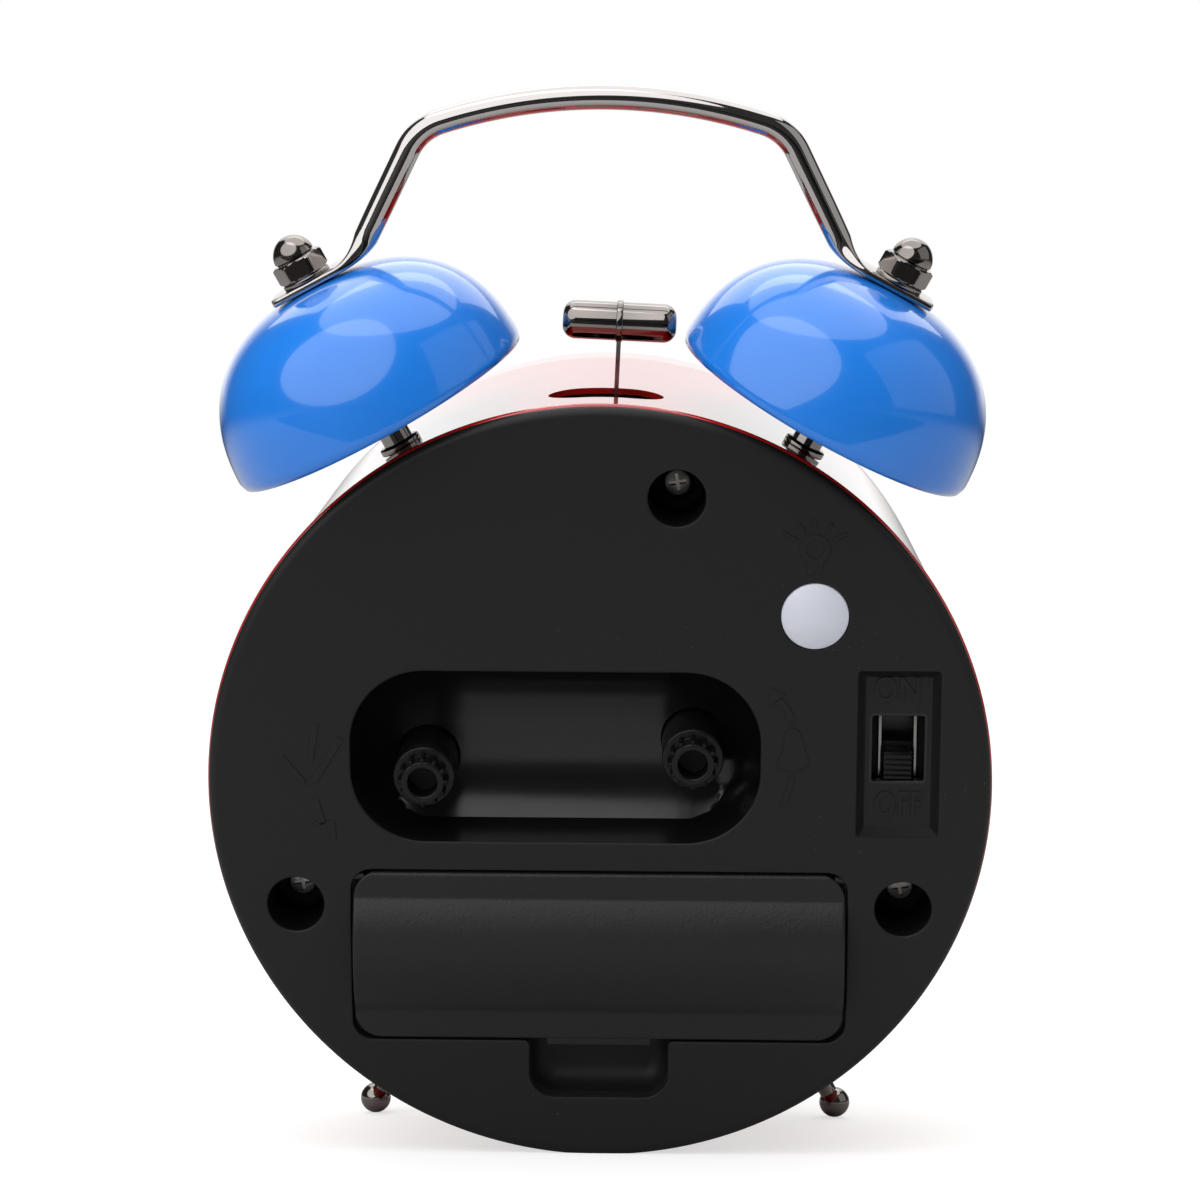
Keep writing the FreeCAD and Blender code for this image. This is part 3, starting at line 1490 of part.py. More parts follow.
def pieces():
    bell_right = bell()
    foot_right = foot()
    return {
        "case_shell": case_shell(),
        "back_cover": back_cover(),
        "cover_screws": cover_screws(),
        "battery_door": battery_door(),
        "battery_cell": battery_cell(),
        "positive_contact": positive_contact(),
        "negative_contact": negative_contact(),
        "light_button": light_button(),
        "switch_plunger": switch_plunger(),
        "light_switch": light_switch(),
        "alarm_slider": slider(),
        "switch_frame": switch_frame(),
        "switch_base": switch_base(),
        "circuit_board": circuit_board(),
        "bell_right": bell_right,
        "bell_left": mirrored(bell_right),
        "bell_posts": pair(bell_post()),
        "washers": pair(washer()),
        "cap_nuts": pair(cap_nut()),
        "handle": handle(),
        "hammer_head": hammer_head(),
        "hammer_arm": hammer_arm_strip(),
        "armature": armature(),
        "striker_core": striker_core(),
        "striker_bobbin": striker_bobbin(),
        "striker_coil": striker_coil(),
        "striker_bracket": striker_bracket(),
        "pivot_clip": pivot_clip(),
        "foot_right": foot_right,
        "foot_left": mirrored(foot_right),
        "plain_nuts": group(pair(post_nut()), pair(foot_nut())),
        "front_bezel": front_bezel(),
        "lens": lens(),
        "light_ring": light_ring(),
        "dial": dial(),
        "dial_frame": dial_frame(),
        "lamp": lamp(),
        "alarm_hand": alarm_hand(),
        "hour_hand": hour_hand(),
        "minute_hand": minute_hand(),
        "second_hand": second_hand(),
        "front_housing": front_housing(),
        "rear_housing": rear_housing(),
        "small_screws": group(board_screws(), bracket_screws(), housing_screws()),
        "middle_plate": middle_plate(),
        "second_wheel": second_wheel(),
        "third_wheel": third_wheel(),
        "centre_wheel": centre_wheel(),
        "intermediate_wheel": intermediate_wheel(),
        "rotor": rotor(),
        "stator": stator(),
        "motor_coil": motor_coil(),
        "cannon_pinion": cannon_pinion(),
        "minute_wheel": minute_wheel(),
        "hour_wheel": hour_wheel(),
        "alarm_wheel": alarm_wheel(),
        "time_shaft": setting_shaft(time_axis, time_gear_teeth, hand_module, 2),
        "time_knob": knob(time_axis),
        "alarm_shaft": setting_shaft(alarm_axis, alarm_gear_teeth, alarm_module, 0),
        "alarm_knob": knob(alarm_axis),
    }


# How far the clock leans back when it stands on its two feet and the cover's lower edge
def lean_angle():
    foot_x, foot_z = polar(foot_reach, -foot_drop)
    ahead = -cover_round - foot_y
    drop = -(cover_radius - cover_round) - foot_z
    span = math.hypot(ahead, drop)
    return math.degrees(math.asin((foot_ball - cover_round) / span) + math.atan2(drop, ahead))


# Turns the clock to its stance, with the middle of its base at the origin
def stance(shapes):
    lean = FreeCAD.Placement(V(0, 0, 0), FreeCAD.Rotation(V(1, 0, 0), -lean_angle()))
    frame = Part.makeCompound([shape.copy() for shape in shapes.values()])
    frame.Placement = lean.multiply(frame.Placement)
    bounds = frame.optimalBoundingBox(False, False)
    shift = V(-(bounds.XMin + bounds.XMax) / 2, -(bounds.YMin + bounds.YMax) / 2, -bounds.ZMin)
    return FreeCAD.Placement(shift, FreeCAD.Rotation()).multiply(lean)


def main():
    os.makedirs("parts", exist_ok=True)
    shapes = pieces()
    place = stance(shapes)
    for name, shape in shapes.items():
        standing = shape.copy()
        standing.Placement = place.multiply(standing.Placement)
        standing.exportStep("parts/" + name + ".step")
        print(name, len(standing.Solids), "solids", round(standing.Volume, 1), "mm3", standing.isValid())


if __name__ == "__main__":
    main()
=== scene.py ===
import bpy
import bmesh
import json
from math import asin, atan2, copysign, cos, degrees, hypot, pi, radians, sin, sqrt, tan
from mathutils import Matrix, Vector
from mathutils.geometry import delaunay_2d_cdt

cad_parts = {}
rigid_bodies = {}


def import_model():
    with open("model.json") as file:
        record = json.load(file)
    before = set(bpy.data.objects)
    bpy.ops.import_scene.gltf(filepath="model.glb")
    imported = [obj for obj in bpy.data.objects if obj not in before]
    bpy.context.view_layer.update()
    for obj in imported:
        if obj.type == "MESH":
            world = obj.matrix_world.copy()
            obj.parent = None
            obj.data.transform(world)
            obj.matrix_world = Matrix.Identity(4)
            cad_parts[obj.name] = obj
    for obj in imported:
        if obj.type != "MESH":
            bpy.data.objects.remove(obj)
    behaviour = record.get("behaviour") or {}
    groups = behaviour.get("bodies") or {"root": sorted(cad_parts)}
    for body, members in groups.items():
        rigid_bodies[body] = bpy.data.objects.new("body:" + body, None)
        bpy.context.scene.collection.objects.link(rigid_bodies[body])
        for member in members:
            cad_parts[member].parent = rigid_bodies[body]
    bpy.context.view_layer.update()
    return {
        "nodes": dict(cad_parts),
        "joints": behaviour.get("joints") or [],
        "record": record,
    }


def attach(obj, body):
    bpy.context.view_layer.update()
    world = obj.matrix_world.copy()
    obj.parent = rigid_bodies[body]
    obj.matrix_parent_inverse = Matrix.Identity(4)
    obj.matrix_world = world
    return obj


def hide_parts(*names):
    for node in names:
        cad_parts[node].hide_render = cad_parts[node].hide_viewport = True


for leftover in list(bpy.data.objects):
    bpy.data.objects.remove(leftover)
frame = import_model()
scene = bpy.context.scene
print("frame loaded", len(frame["nodes"]), "nodes")

# The clock is drawn in millimetres about its own axis and then leaned back:
# y runs along the drum with the back cover's face at 0, z is up, x is to the photo's left.
axisToFace = 0.030  # metres from the second hand's joint to the cover's face


class Sizes(dict):  # a piece's settings, which also read as names
    __getattr__ = dict.__getitem__


def clockToRow():
    joint = next(j for j in frame["joints"] if j["name"] == "second_hand_turn")
    along = Vector(joint["axis"]).normalized()
    upward = Vector((1, 0, 0)).cross(along)
    turn = Matrix(((1, along.x, upward.x), (0, along.y, upward.y), (0, along.z, upward.z)))
    return Matrix.Translation(Vector(joint["pos_m"]) + along * axisToFace) @ turn.to_4x4(), turn


toRow, leanTurn = clockToRow()
toRowMm = toRow @ Matrix.Scale(0.001, 4)

# Outlines


def arc(x, y, radius, first, last, steps):  # angles in degrees, both ends included
    angles = [radians(first + (last - first) * k / steps) for k in range(steps + 1)]
    return [(x + radius * cos(a), y + radius * sin(a)) for a in angles]


def ring(x, y, radius, count=48):
    return arc(x, y, radius, 0, 360, count)[:-1]


def softened(points, steps=5):  # (a, b, radius) corners of a closed outline, each rounded
    out = []
    for i, (a, b, radius) in enumerate(points):
        if radius <= 0:
            out.append((a, b))
            continue
        here = Vector((a, b))
        before = (Vector(points[i - 1][:2]) - here).normalized()
        after = (Vector(points[(i + 1) % len(points)][:2]) - here).normalized()
        half = before.angle(after) / 2
        middle = here + (before + after).normalized() * (radius / sin(half))
        start, end = [here + way * (radius / tan(half)) - middle for way in (before, after)]
        first = degrees(atan2(start.y, start.x))
        turn = (degrees(atan2(end.y, end.x)) - first + 180) % 360 - 180
        out += arc(*middle, radius, first, first + turn, steps)
    return out


def rectangle(x0, x1, z0, z1, radius, steps=8):
    return softened([(x0, z0, radius), (x1, z0, radius), (x1, z1, radius), (x0, z1, radius)], steps)


def grown(loop, distance):  # the outline moved outwards along its normals
    ahead = loop[1:] + loop[:1]
    area = sum(a[0] * b[1] - b[0] * a[1] for a, b in zip(loop, ahead))
    side = 1 if area > 0 else -1
    out = []
    for i, place in enumerate(loop):
        here = Vector(place)
        first = (here - Vector(loop[i - 1])).normalized()
        tangent = (first + (Vector(ahead[i]) - here).normalized()).normalized()
        normal = Vector((tangent.y, -tangent.x)) * side
        out.append(tuple(here + normal * (distance / max(0.5, first.dot(tangent)))))
    return out


# Meshes


def smoothed(mesh, sharp):
    mesh.shade_smooth()
    mesh.set_sharp_from_angle(angle=radians(sharp))
    return mesh


def finishMesh(bm, sharp=35, merge=0.0005):
    bmesh.ops.remove_doubles(bm, verts=bm.verts, dist=merge)
    bmesh.ops.recalc_face_normals(bm, faces=bm.faces)
    mesh = bpy.data.meshes.new("mesh")
    bm.to_mesh(mesh)
    bm.free()
    return smoothed(mesh, sharp)


def cleaned(mesh, sharp=35, merge=0.0005):
    bm = bmesh.new()
    bm.from_mesh(mesh)
    bpy.data.meshes.remove(mesh)
    return finishMesh(bm, sharp, merge)


def rowAt(bm, loop, y):
    return [bm.verts.new((x, y, z)) for x, z in loop]


def bridge(bm, lower, upper, index=0, closed=True):
    for i in range(len(lower) if closed else len(lower) - 1):
        j = (i + 1) % len(lower)
        corners = list(dict.fromkeys([lower[i], lower[j], upper[j], upper[i]]))
        if len(corners) > 2:
            bm.faces.new(corners).material_index = index


def skin(bm, rows, index=0, closed=True):
    for lower, upper in zip(rows, rows[1:]):
        bridge(bm, lower, upper, index, closed)


def rings(bm, loop, steps, index=0, plain=0):  # walls through (how far out, y) steps, the first ones plain
    rows = [rowAt(bm, grown(loop, out) if out else loop, y) for out, y in steps]
    skin(bm, rows[:plain + 1])
    skin(bm, rows[plain:], index)
    return rows


def fillLevel(bm, rows, index=0):  # fills a level face between closed rows of corners, with holes left open
    corners = [v for row in rows for v in row]
    flat = [Vector((v.co.x, v.co.z)) for v in corners]
    edges, first = [], 0
    for row in rows:
        edges += [(first + i, first + (i + 1) % len(row)) for i in range(len(row))]
        first += len(row)
    places, _, triangles, origins, _, _ = delaunay_2d_cdt(flat, edges, [], 0, 1e-7)
    for triangle in triangles:
        middle = sum((places[i] for i in triangle), Vector((0, 0))) / 3
        crossings = 0
        for here, there in ((flat[a], flat[b]) for a, b in edges):
            if (here.y > middle.y) != (there.y > middle.y):
                share = (middle.y - here.y) / (there.y - here.y)
                crossings += middle.x < here.x + share * (there.x - here.x)
        if crossings % 2:
            bm.faces.new([corners[origins[i][0]] for i in triangle]).material_index = index


def turnedMesh(profile, count=96, closed=False, sharp=35):
    bm = bmesh.new()  # profile: (radius, y) about the drum's axis
    rows = [[bm.verts.new((0, y, 0))] * count if radius < 1e-6 else rowAt(bm, ring(0, 0, radius, count), y)
            for radius, y in profile]
    skin(bm, rows + rows[:1] if closed else rows)
    return finishMesh(bm, sharp)


def plateMesh(loop, y0, y1, edge=0.15, holes=()):  # a flat piece with rounded edges
    bm = bmesh.new()
    ends = [[], []]
    lower = [(1.6, y0), (1, y0), (0.3, y0 + edge * 0.3), (0, y0 + edge)]
    steps = lower + [(out, y0 + y1 - y) for out, y in reversed(lower)]
    for number, outline in enumerate([loop, *holes]):
        way = edge if number else -edge
        rows = [rowAt(bm, grown(outline, way * out), y) for out, y in steps]
        skin(bm, rows)
        ends[0].append(rows[0])
        ends[1].append(rows[-1])
    for end in ends:
        fillLevel(bm, end)
    return finishMesh(bm, 30)


def boxMesh(xs, ys, zs, edge=0.2, steps=2):
    bm = bmesh.new()
    bmesh.ops.create_cube(bm, size=1)
    for v in bm.verts:
        v.co = [(a + b) / 2 + share * abs(b - a) for (a, b), share in zip((xs, ys, zs), v.co)]
    bmesh.ops.bevel(bm, geom=bm.edges[:], offset=edge, segments=steps, profile=0.5, affect="EDGES")
    return finishMesh(bm)


def joinedMesh(*meshes):
    bm = bmesh.new()
    for mesh in meshes:
        bm.from_mesh(mesh)
        bpy.data.meshes.remove(mesh)
    mesh = bpy.data.meshes.new("mesh")
    bm.to_mesh(mesh)
    bm.free()
    return mesh


def moved(mesh, matrix):
    mesh.transform(matrix)
    return mesh


def shifted(mesh, x, y, z):
    return moved(mesh, Matrix.Translation((x, y, z)))


def turned(mesh, angle, axis="Z"):
    return moved(mesh, Matrix.Rotation(radians(angle), 4, axis))


def upright(mesh):  # a piece turned about y stands about z instead
    return turned(mesh, 90, "X")


def aboutY(angle, x=0.0, y=0.0, z=0.0):  # a turn about the drum's direction, then a place
    return Matrix.Translation((x, y, z)) @ Matrix.Rotation(radians(angle), 4, "Y")


def addObject(name, data):
    piece = bpy.data.objects.new(name, data)
    scene.collection.objects.link(piece)
    return piece


def addPiece(name, mesh, slot, *nodes, body="clock", finish=()):
    mesh.name = name
    piece = addObject(name, moved(mesh, toRowMm))
    for material in finish or [finishes[slot]]:
        mesh.materials.append(material)
    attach(piece, body)
    if nodes:
        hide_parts(*nodes)


def evaluated(piece):  # the object's mesh with its modifiers, as a plain mesh; the object goes
    graph = bpy.context.evaluated_depsgraph_get()
    mesh = bpy.data.meshes.new_from_object(piece.evaluated_get(graph))
    bpy.data.objects.remove(piece)
    return mesh


def carved(mesh, *tools, sharp=35):
    piece = addObject("blank", mesh)
    helpers = [addObject("tool", tool) for tool in tools]
    for helper in helpers:
        modifier = piece.modifiers.new("cut", "BOOLEAN")
        modifier.operation, modifier.solver, modifier.object = "DIFFERENCE", "EXACT", helper
    result = evaluated(piece)
    for helper in helpers:
        bpy.data.objects.remove(helper)
    return smoothed(result, sharp)


# Nodes


def fed(tree, node, *values, **named):  # sets or links the node's inputs, in order or by name
    pairs = list(zip(node.inputs, values))
    pairs += [(node.inputs[label.replace("_", " ")], value) for label, value in named.items()]
    for socket, value in pairs:
        if isinstance(value, bpy.types.NodeSocket):
            tree.links.new(value, socket)
        else:
            socket.default_value = value
    return node


def addNode(tree, kind, *values, **named):
    return fed(tree, tree.nodes.new(kind), *values, **named)


def sums(tree, operation, *values):
    node = addNode(tree, "ShaderNodeMath", *values)
    node.operation = operation
    return node.outputs[0]


def newTree(name, kind, inputs, outputs):  # a node group with (label, kind of socket, value) inputs
    tree = bpy.data.node_groups.new(name, kind)
    for way, rows in (("INPUT", inputs), ("OUTPUT", outputs)):
        for label, socketKind, value in rows:
            socket = tree.interface.new_socket(name=label, in_out=way, socket_type="NodeSocket" + socketKind)
            if value is not None:
                socket.default_value = value
    return tree, tree.nodes.new("NodeGroupInput"), tree.nodes.new("NodeGroupOutput")


def shapeTree(name, numbers, *more):  # a modifier tree with a geometry input and named sizes
    sizes = [(label, "Int" if isinstance(value, int) else "Float", value) for label, value in numbers.items()]
    through, finish = ("Geometry", "Geometry", None), ("Finish", "Material", None)
    return newTree(name, "GeometryNodeTree", [through, *sizes, finish, *more], [through])


def closeTree(tree, geometry, entry, outlet):
    realise = addNode(tree, "GeometryNodeRealizeInstances", geometry)
    finish = addNode(tree, "GeometryNodeSetMaterial", Geometry=realise.outputs[0],
                     Material=entry.outputs["Finish"])
    fed(tree, outlet, finish.outputs[0])
    return tree


def grownFrom(mesh, tree, values, material, sharp=35):  # runs a tree on a mesh and gives the plain result
    piece = addObject("seed", mesh)
    modifier = piece.modifiers.new("tree", "NODES")
    modifier.node_group = tree
    values = {**values, "Finish": material}
    for item in tree.interface.items_tree:
        if item.in_out == "INPUT" and item.name in values:
            modifier[item.identifier] = values[item.name]
    return cleaned(evaluated(piece), sharp)


def objectSpace(tree):
    return tree.nodes.new("ShaderNodeTexCoord").outputs["Object"]


def noise(tree, vector, scale, detail=3.0, rough=0.5):
    node = addNode(tree, "ShaderNodeTexNoise", Vector=vector, Scale=scale, Detail=detail, Roughness=rough)
    return node.outputs["Fac"]


def spread(tree, value, fromLow, fromHigh, toLow, toHigh):
    node = addNode(tree, "ShaderNodeMapRange", Value=value, From_Min=fromLow, From_Max=fromHigh,
                   To_Min=toLow, To_Max=toHigh)
    return node.outputs["Result"]


def mixed(tree, share, first, second):  # a colour between two
    node = tree.nodes.new("ShaderNodeMix")
    node.data_type = "RGBA"
    for number, value in ((0, share), (6, first), (7, second)):
        if isinstance(value, bpy.types.NodeSocket):
            tree.links.new(value, node.inputs[number])
        else:
            node.inputs[number].default_value = value
    return node.outputs[2]


def bumped(tree, shader, height, strength, distance):
    bump = addNode(tree, "ShaderNodeBump", Strength=strength, Distance=distance, Height=height)
    tree.links.new(bump.outputs[0], shader.inputs["Normal"])


# Effects that more than one finish uses


def mouldGrainGroup():  # spark-eroded grain of a moulded plastic face
    tree, entry, outlet = newTree("mouldGrain", "ShaderNodeTree",
                                  [("Coordinates", "Vector", None), ("Size", "Float", 3000.0)],
                                  [("Height", "Float", None), ("Tone", "Float", None)])
    at, size = entry.outputs["Coordinates"], entry.outputs["Size"]
    fine = noise(tree, at, size, 4.0, 0.6)
    coarse = noise(tree, at, sums(tree, "MULTIPLY", size, 0.22), 2.0)
    height = sums(tree, "ADD", sums(tree, "MULTIPLY", fine, 0.75), sums(tree, "MULTIPLY", coarse, 0.25))
    fed(tree, outlet, Height=height, Tone=noise(tree, at, sums(tree, "MULTIPLY", size, 0.012), 3.0))
    return tree


def handledGroup():  # faint wiped marks and waves on a shiny finish
    tree, entry, outlet = newTree("handled", "ShaderNodeTree",
                                  [("Coordinates", "Vector", None), ("Low", "Float", 0.05),
                                   ("High", "Float", 0.1)],
                                  [("Roughness", "Float", None), ("Waviness", "Float", None)])
    at, low, high = [entry.outputs[label] for label in ("Coordinates", "Low", "High")]
    broad = noise(tree, at, 60.0, 5.0, 0.62)
    fed(tree, outlet, Roughness=spread(tree, broad, 0.35, 0.7, low, high),
        Waviness=noise(tree, at, 220.0, 1.0))
    return tree


def dustGroup():  # a few pale specks that settle on dark plastic
    tree, entry, outlet = newTree("dust", "ShaderNodeTree",
                                  [("Coordinates", "Vector", None),
                                   ("Colour", "Color", (0.02, 0.02, 0.02, 1)), ("Amount", "Float", 0.5)],
                                  [("Colour", "Color", None)])
    at = entry.outputs["Coordinates"]
    cell = addNode(tree, "ShaderNodeTexVoronoi", Scale=900.0, Vector=at)
    speck = spread(tree, cell.outputs["Distance"], 0.05, 0.09, 1.0, 0.0)
    patch = spread(tree, noise(tree, at, 70.0, 4.0), 0.56, 0.72, 0.0, 1.0)
    share = sums(tree, "MULTIPLY", sums(tree, "MULTIPLY", speck, patch), entry.outputs["Amount"])
    fed(tree, outlet, Colour=mixed(tree, share, entry.outputs["Colour"], (0.11, 0.11, 0.11, 1)))
    return tree


mouldGrain, handled, dust = mouldGrainGroup(), handledGroup(), dustGroup()


def placed(tree, group, **values):
    node = tree.nodes.new("ShaderNodeGroup")
    node.node_tree = group
    return fed(tree, node, **values)


# Finishes


def newMaterial(name, colour, roughness, **more):
    material = bpy.data.materials.new(name)
    material.use_nodes = True
    material.diffuse_color = (*colour, 1)
    tree = material.node_tree
    shader = fed(tree, tree.nodes["Principled BSDF"], Base_Color=(*colour, 1), Roughness=roughness, **more)
    return material, tree, shader


def moulded(name, colour, rough, size=3000.0, depth=0.00002, dustAmount=0.0, **more):
    material, tree, shader = newMaterial(name, colour, sum(rough) / 2, **more)
    at = objectSpace(tree)
    grain = placed(tree, mouldGrain, Coordinates=at, Size=size)
    fed(tree, shader, Roughness=spread(tree, grain.outputs["Tone"], 0.3, 0.7, *rough))
    bumped(tree, shader, grain.outputs["Height"], 1.0, depth)
    if dustAmount:
        specks = placed(tree, dust, Coordinates=at, Colour=(*colour, 1), Amount=dustAmount)
        fed(tree, shader, Base_Color=specks.outputs["Colour"])
    return material


def wiped(tree, shader, low, high):
    marks = placed(tree, handled, Coordinates=objectSpace(tree), Low=low, High=high)
    fed(tree, shader, Roughness=marks.outputs["Roughness"])
    return marks.outputs["Waviness"]


def shiny(name, colour, rough, ripple=0.000004, tint=0.0, **more):  # enamel, plating or polished plastic
    material, tree, shader = newMaterial(name, colour, sum(rough) / 2, **more)
    waves = wiped(tree, shader, *rough)
    bumped(tree, shader, waves, 0.6, ripple)
    if tint:
        darker, lighter = [(*[min(1, c * (1 + way * tint)) for c in colour], 1) for way in (-1, 1)]
        fed(tree, shader, Base_Color=mixed(tree, waves, darker, lighter))
    return material


def woundCopper():
    material, tree, shader = newMaterial("woundCopper", (0.55, 0.2, 0.08), 0.3, Metallic=1.0)
    wave = addNode(tree, "ShaderNodeTexWave", Vector=objectSpace(tree), Scale=1600.0)
    wave.bands_direction = "X"
    bumped(tree, shader, wave.outputs["Fac"], 0.8, 0.00006)
    fed(tree, shader, Roughness=spread(tree, wave.outputs["Fac"], 0.0, 1.0, 0.45, 0.25))
    return material


def clearLens():
    material, tree, shader = newMaterial("clearLens", (1.0, 1.0, 1.0), 0.03, IOR=1.3, Transmission_Weight=1.0,
                                         Specular_IOR_Level=0.25)
    wiped(tree, shader, 0.01, 0.03)
    return material


def jacketOfCell():  # a plain unprinted jacket: dark body and a copper-coloured end band
    material, tree, shader = newMaterial("cellJacket", (0.05, 0.05, 0.055), 0.3, Coat_Weight=0.6,
                                         Coat_Roughness=0.1)
    split = addNode(tree, "ShaderNodeSeparateXYZ", objectSpace(tree))
    bandAt, blur = 0.012, 0.0001  # metres along the cell
    band = spread(tree, split.outputs["X"], bandAt - blur, bandAt + blur, 0.0, 1.0)
    fed(tree, shader, Base_Color=mixed(tree, band, (0.03, 0.03, 0.033, 1), (0.55, 0.24, 0.10, 1)),
        Metallic=sums(tree, "MULTIPLY", band, 0.9))
    wiped(tree, shader, 0.2, 0.35)
    return material


finishes = {  # by the slots that the parts name
    "red_enamel": shiny("redEnamel", (0.43, 0.011, 0.009), (0.12, 0.18), tint=0.03, Coat_Weight=1.0,
                        Coat_Roughness=0.03, Specular_IOR_Level=0.3),
    "blue_enamel": shiny("blueEnamel", (0.012, 0.205, 0.76), (0.22, 0.28), tint=0.03, Coat_Weight=1.0,
                         Coat_Roughness=0.06, Specular_IOR_Level=0.3),
    "black_moulding": moulded("coverBlack", (0.010, 0.010, 0.0108), (0.46, 0.54), 2600.0, 0.000018, 0.6,
                              Specular_IOR_Level=0.28),
    "black_gloss": shiny("glossBlack", (0.006, 0.006, 0.0064), (0.15, 0.22), tint=0.05,
                         Specular_IOR_Level=0.45),
    "dark_nickel": shiny("darkNickel", (0.25, 0.228, 0.215), (0.05, 0.13), tint=0.3, Metallic=1.0),
    "steel": shiny("plainSteel", (0.30, 0.29, 0.28), (0.22, 0.34), tint=0.06, Metallic=1.0),
    "iron": shiny("softIron", (0.34, 0.34, 0.35), (0.35, 0.5), tint=0.1, Metallic=1.0),
    "pale_moulding": shiny("paleButton", (0.70, 0.72, 0.80), (0.28, 0.36), tint=0.02, Subsurface_Weight=0.3,
                           Subsurface_Radius=(0.002, 0.002, 0.002), Subsurface_Scale=0.5),
    "light_pipe": shiny("lightPipe", (0.86, 0.88, 0.9), (0.2, 0.3), tint=0.02, Transmission_Weight=0.7,
                        IOR=1.49),
    "dial_face": moulded("dialWhite", (0.87, 0.87, 0.85), (0.55, 0.65), 1800.0, 0.000006),
    "hand_black": shiny("handBlack", (0.014, 0.014, 0.014), (0.3, 0.42), tint=0.05),
    "hand_red": shiny("handRed", (0.5, 0.012, 0.01), (0.3, 0.42), tint=0.05),
    "inner_moulding": moulded("milkyPlastic", (0.66, 0.66, 0.63), (0.45, 0.55), 2200.0, 0.000012),
    "gear_moulding": moulded("gearNylon", (0.78, 0.76, 0.68), (0.35, 0.45), 2200.0, 0.000006),
    "board": moulded("boardBrown", (0.014, 0.013, 0.009), (0.3, 0.42), 1600.0, 0.00001),
    "copper_wire": woundCopper(), "clear_glass": clearLens(), "cell_jacket": jacketOfCell()}
finishes["lamp_body"] = finishes["light_pipe"]
# near-black finish for the bells' hollow sides: painted shade inside the cups
paintedShadeInside = shiny("paintedShadeInside", (0.03, 0.035, 0.045), (0.3, 0.4), tint=0.1)
brightNickel = shiny("brightNickel", (0.50, 0.475, 0.465), (0.03, 0.08), tint=0.06, Metallic=1.0)
doorBlack = moulded("doorBlack", (0.010, 0.010, 0.0108), (0.37, 0.45), 3000.0, 0.00006, 0.5,
                    Specular_IOR_Level=0.36)
knobBlack = moulded("knobBlack", (0.005, 0.005, 0.0054), (0.24, 0.34), 2600.0, 0.00001,
                    Specular_IOR_Level=0.25)
# near-black finish, used as painted shade in the cover's wells and panel walls, the knob bores and the switch
# plate, and for the dark card
deepBlack = moulded("deepBlack", (0.003, 0.003, 0.0032), (0.5, 0.6), 2600.0, 0.00001,
                    Specular_IOR_Level=0.2)
printBlack = moulded("printBlack", (0.012, 0.012, 0.012), (0.5, 0.6), 1800.0, 0.000004)
print("materials made")

# Bells

bellSize = Sizes(Radius=18.5, Height=17.0, Wall=0.9, Curve=2.4, Around=160, Along=220)
bellPlace = Sizes(x=25.4, y=-13.5, z=41.5, tilt=28.5)
bellTop = bellSize.Height


def bellTree():
    tree, entry, outlet = shapeTree("bellCup", bellSize)
    value = entry.outputs
    grid = addNode(tree, "GeometryNodeMeshGrid", 1.0, 1.0, value["Around"], value["Along"])
    place = tree.nodes.new("GeometryNodeInputPosition")
    split = addNode(tree, "ShaderNodeSeparateXYZ", place.outputs[0])
    around = sums(tree, "MULTIPLY", sums(tree, "ADD", split.outputs["X"], 0.5), 2 * pi)
    along = sums(tree, "ADD", split.outputs["Y"], 0.5)
    fold = sums(tree, "ABSOLUTE", sums(tree, "SUBTRACT", sums(tree, "MULTIPLY", along, 2.0), 1.0))
    lift = sums(tree, "MULTIPLY", fold, pi / 2)  # a quarter turn at the crown, none at the rim
    turnIn = addNode(tree, "ShaderNodeMapRange", Value=along, From_Min=0.485, From_Max=0.515)
    turnIn.interpolation_type = "SMOOTHSTEP"
    inset = sums(tree, "MULTIPLY", turnIn.outputs["Result"], value["Wall"])
    power = sums(tree, "DIVIDE", 2.0, value["Curve"])
    radius, height = [sums(tree, "MULTIPLY", sums(tree, "SUBTRACT", value[label], inset),
                           sums(tree, "POWER", sums(tree, "ABSOLUTE", sums(tree, wave, lift)), power))
                      for label, wave in (("Radius", "COSINE"), ("Height", "SINE"))]
    across, deep = [sums(tree, "MULTIPLY", radius, sums(tree, wave, around)) for wave in ("COSINE", "SINE")]
    join = addNode(tree, "ShaderNodeCombineXYZ", across, deep, height)
    shape = addNode(tree, "GeometryNodeSetPosition", Geometry=grid.outputs["Mesh"], Position=join.outputs[0])
    weld = addNode(tree, "GeometryNodeMergeByDistance", Geometry=shape.outputs[0], Distance=0.001)
    return closeTree(tree, weld.outputs[0], entry, outlet)


bellCup = bellTree()


def onPost(mesh, side):  # from a bell's own frame, rim at 0 and crown up, to its place
    return moved(mesh, aboutY(side * bellPlace.tilt, side * bellPlace.x, bellPlace.y, bellPlace.z))


for side, word in ((1, "right"), (-1, "left")):
    cup = grownFrom(bpy.data.meshes.new("seed"), bellCup, bellSize, finishes["blue_enamel"], 80)
    for face in cup.polygons:  # the hollow side gets a near-black finish: painted shade inside the cup
        outward = Vector((face.center.x, face.center.y, face.center.z / 2))
        face.material_index = int(face.normal.dot(outward) < 0)
    addPiece("bell_cup_" + word, onPost(cup, side), "blue_enamel", "bell_" + word,
             finish=[finishes["blue_enamel"], paintedShadeInside])
print("bells made")

# Posts, washers and cap nuts

postSize = Sizes(base=-4.4045, collar=2.5, collarHigh=0.8, shank=1.8, thread=1.5, tail=6.0, overNut=3.0)
nutSize = Sizes(flats=5.5, hexHigh=2.3, dome=2.45, high=5.0, neck=2.25, blunt=0.06, chamfer=30)
washerSize = Sizes(bore=1.55, radius=2.9, thick=0.5)
plateThick = 1.0
washerTop = bellTop + plateThick + washerSize.thick


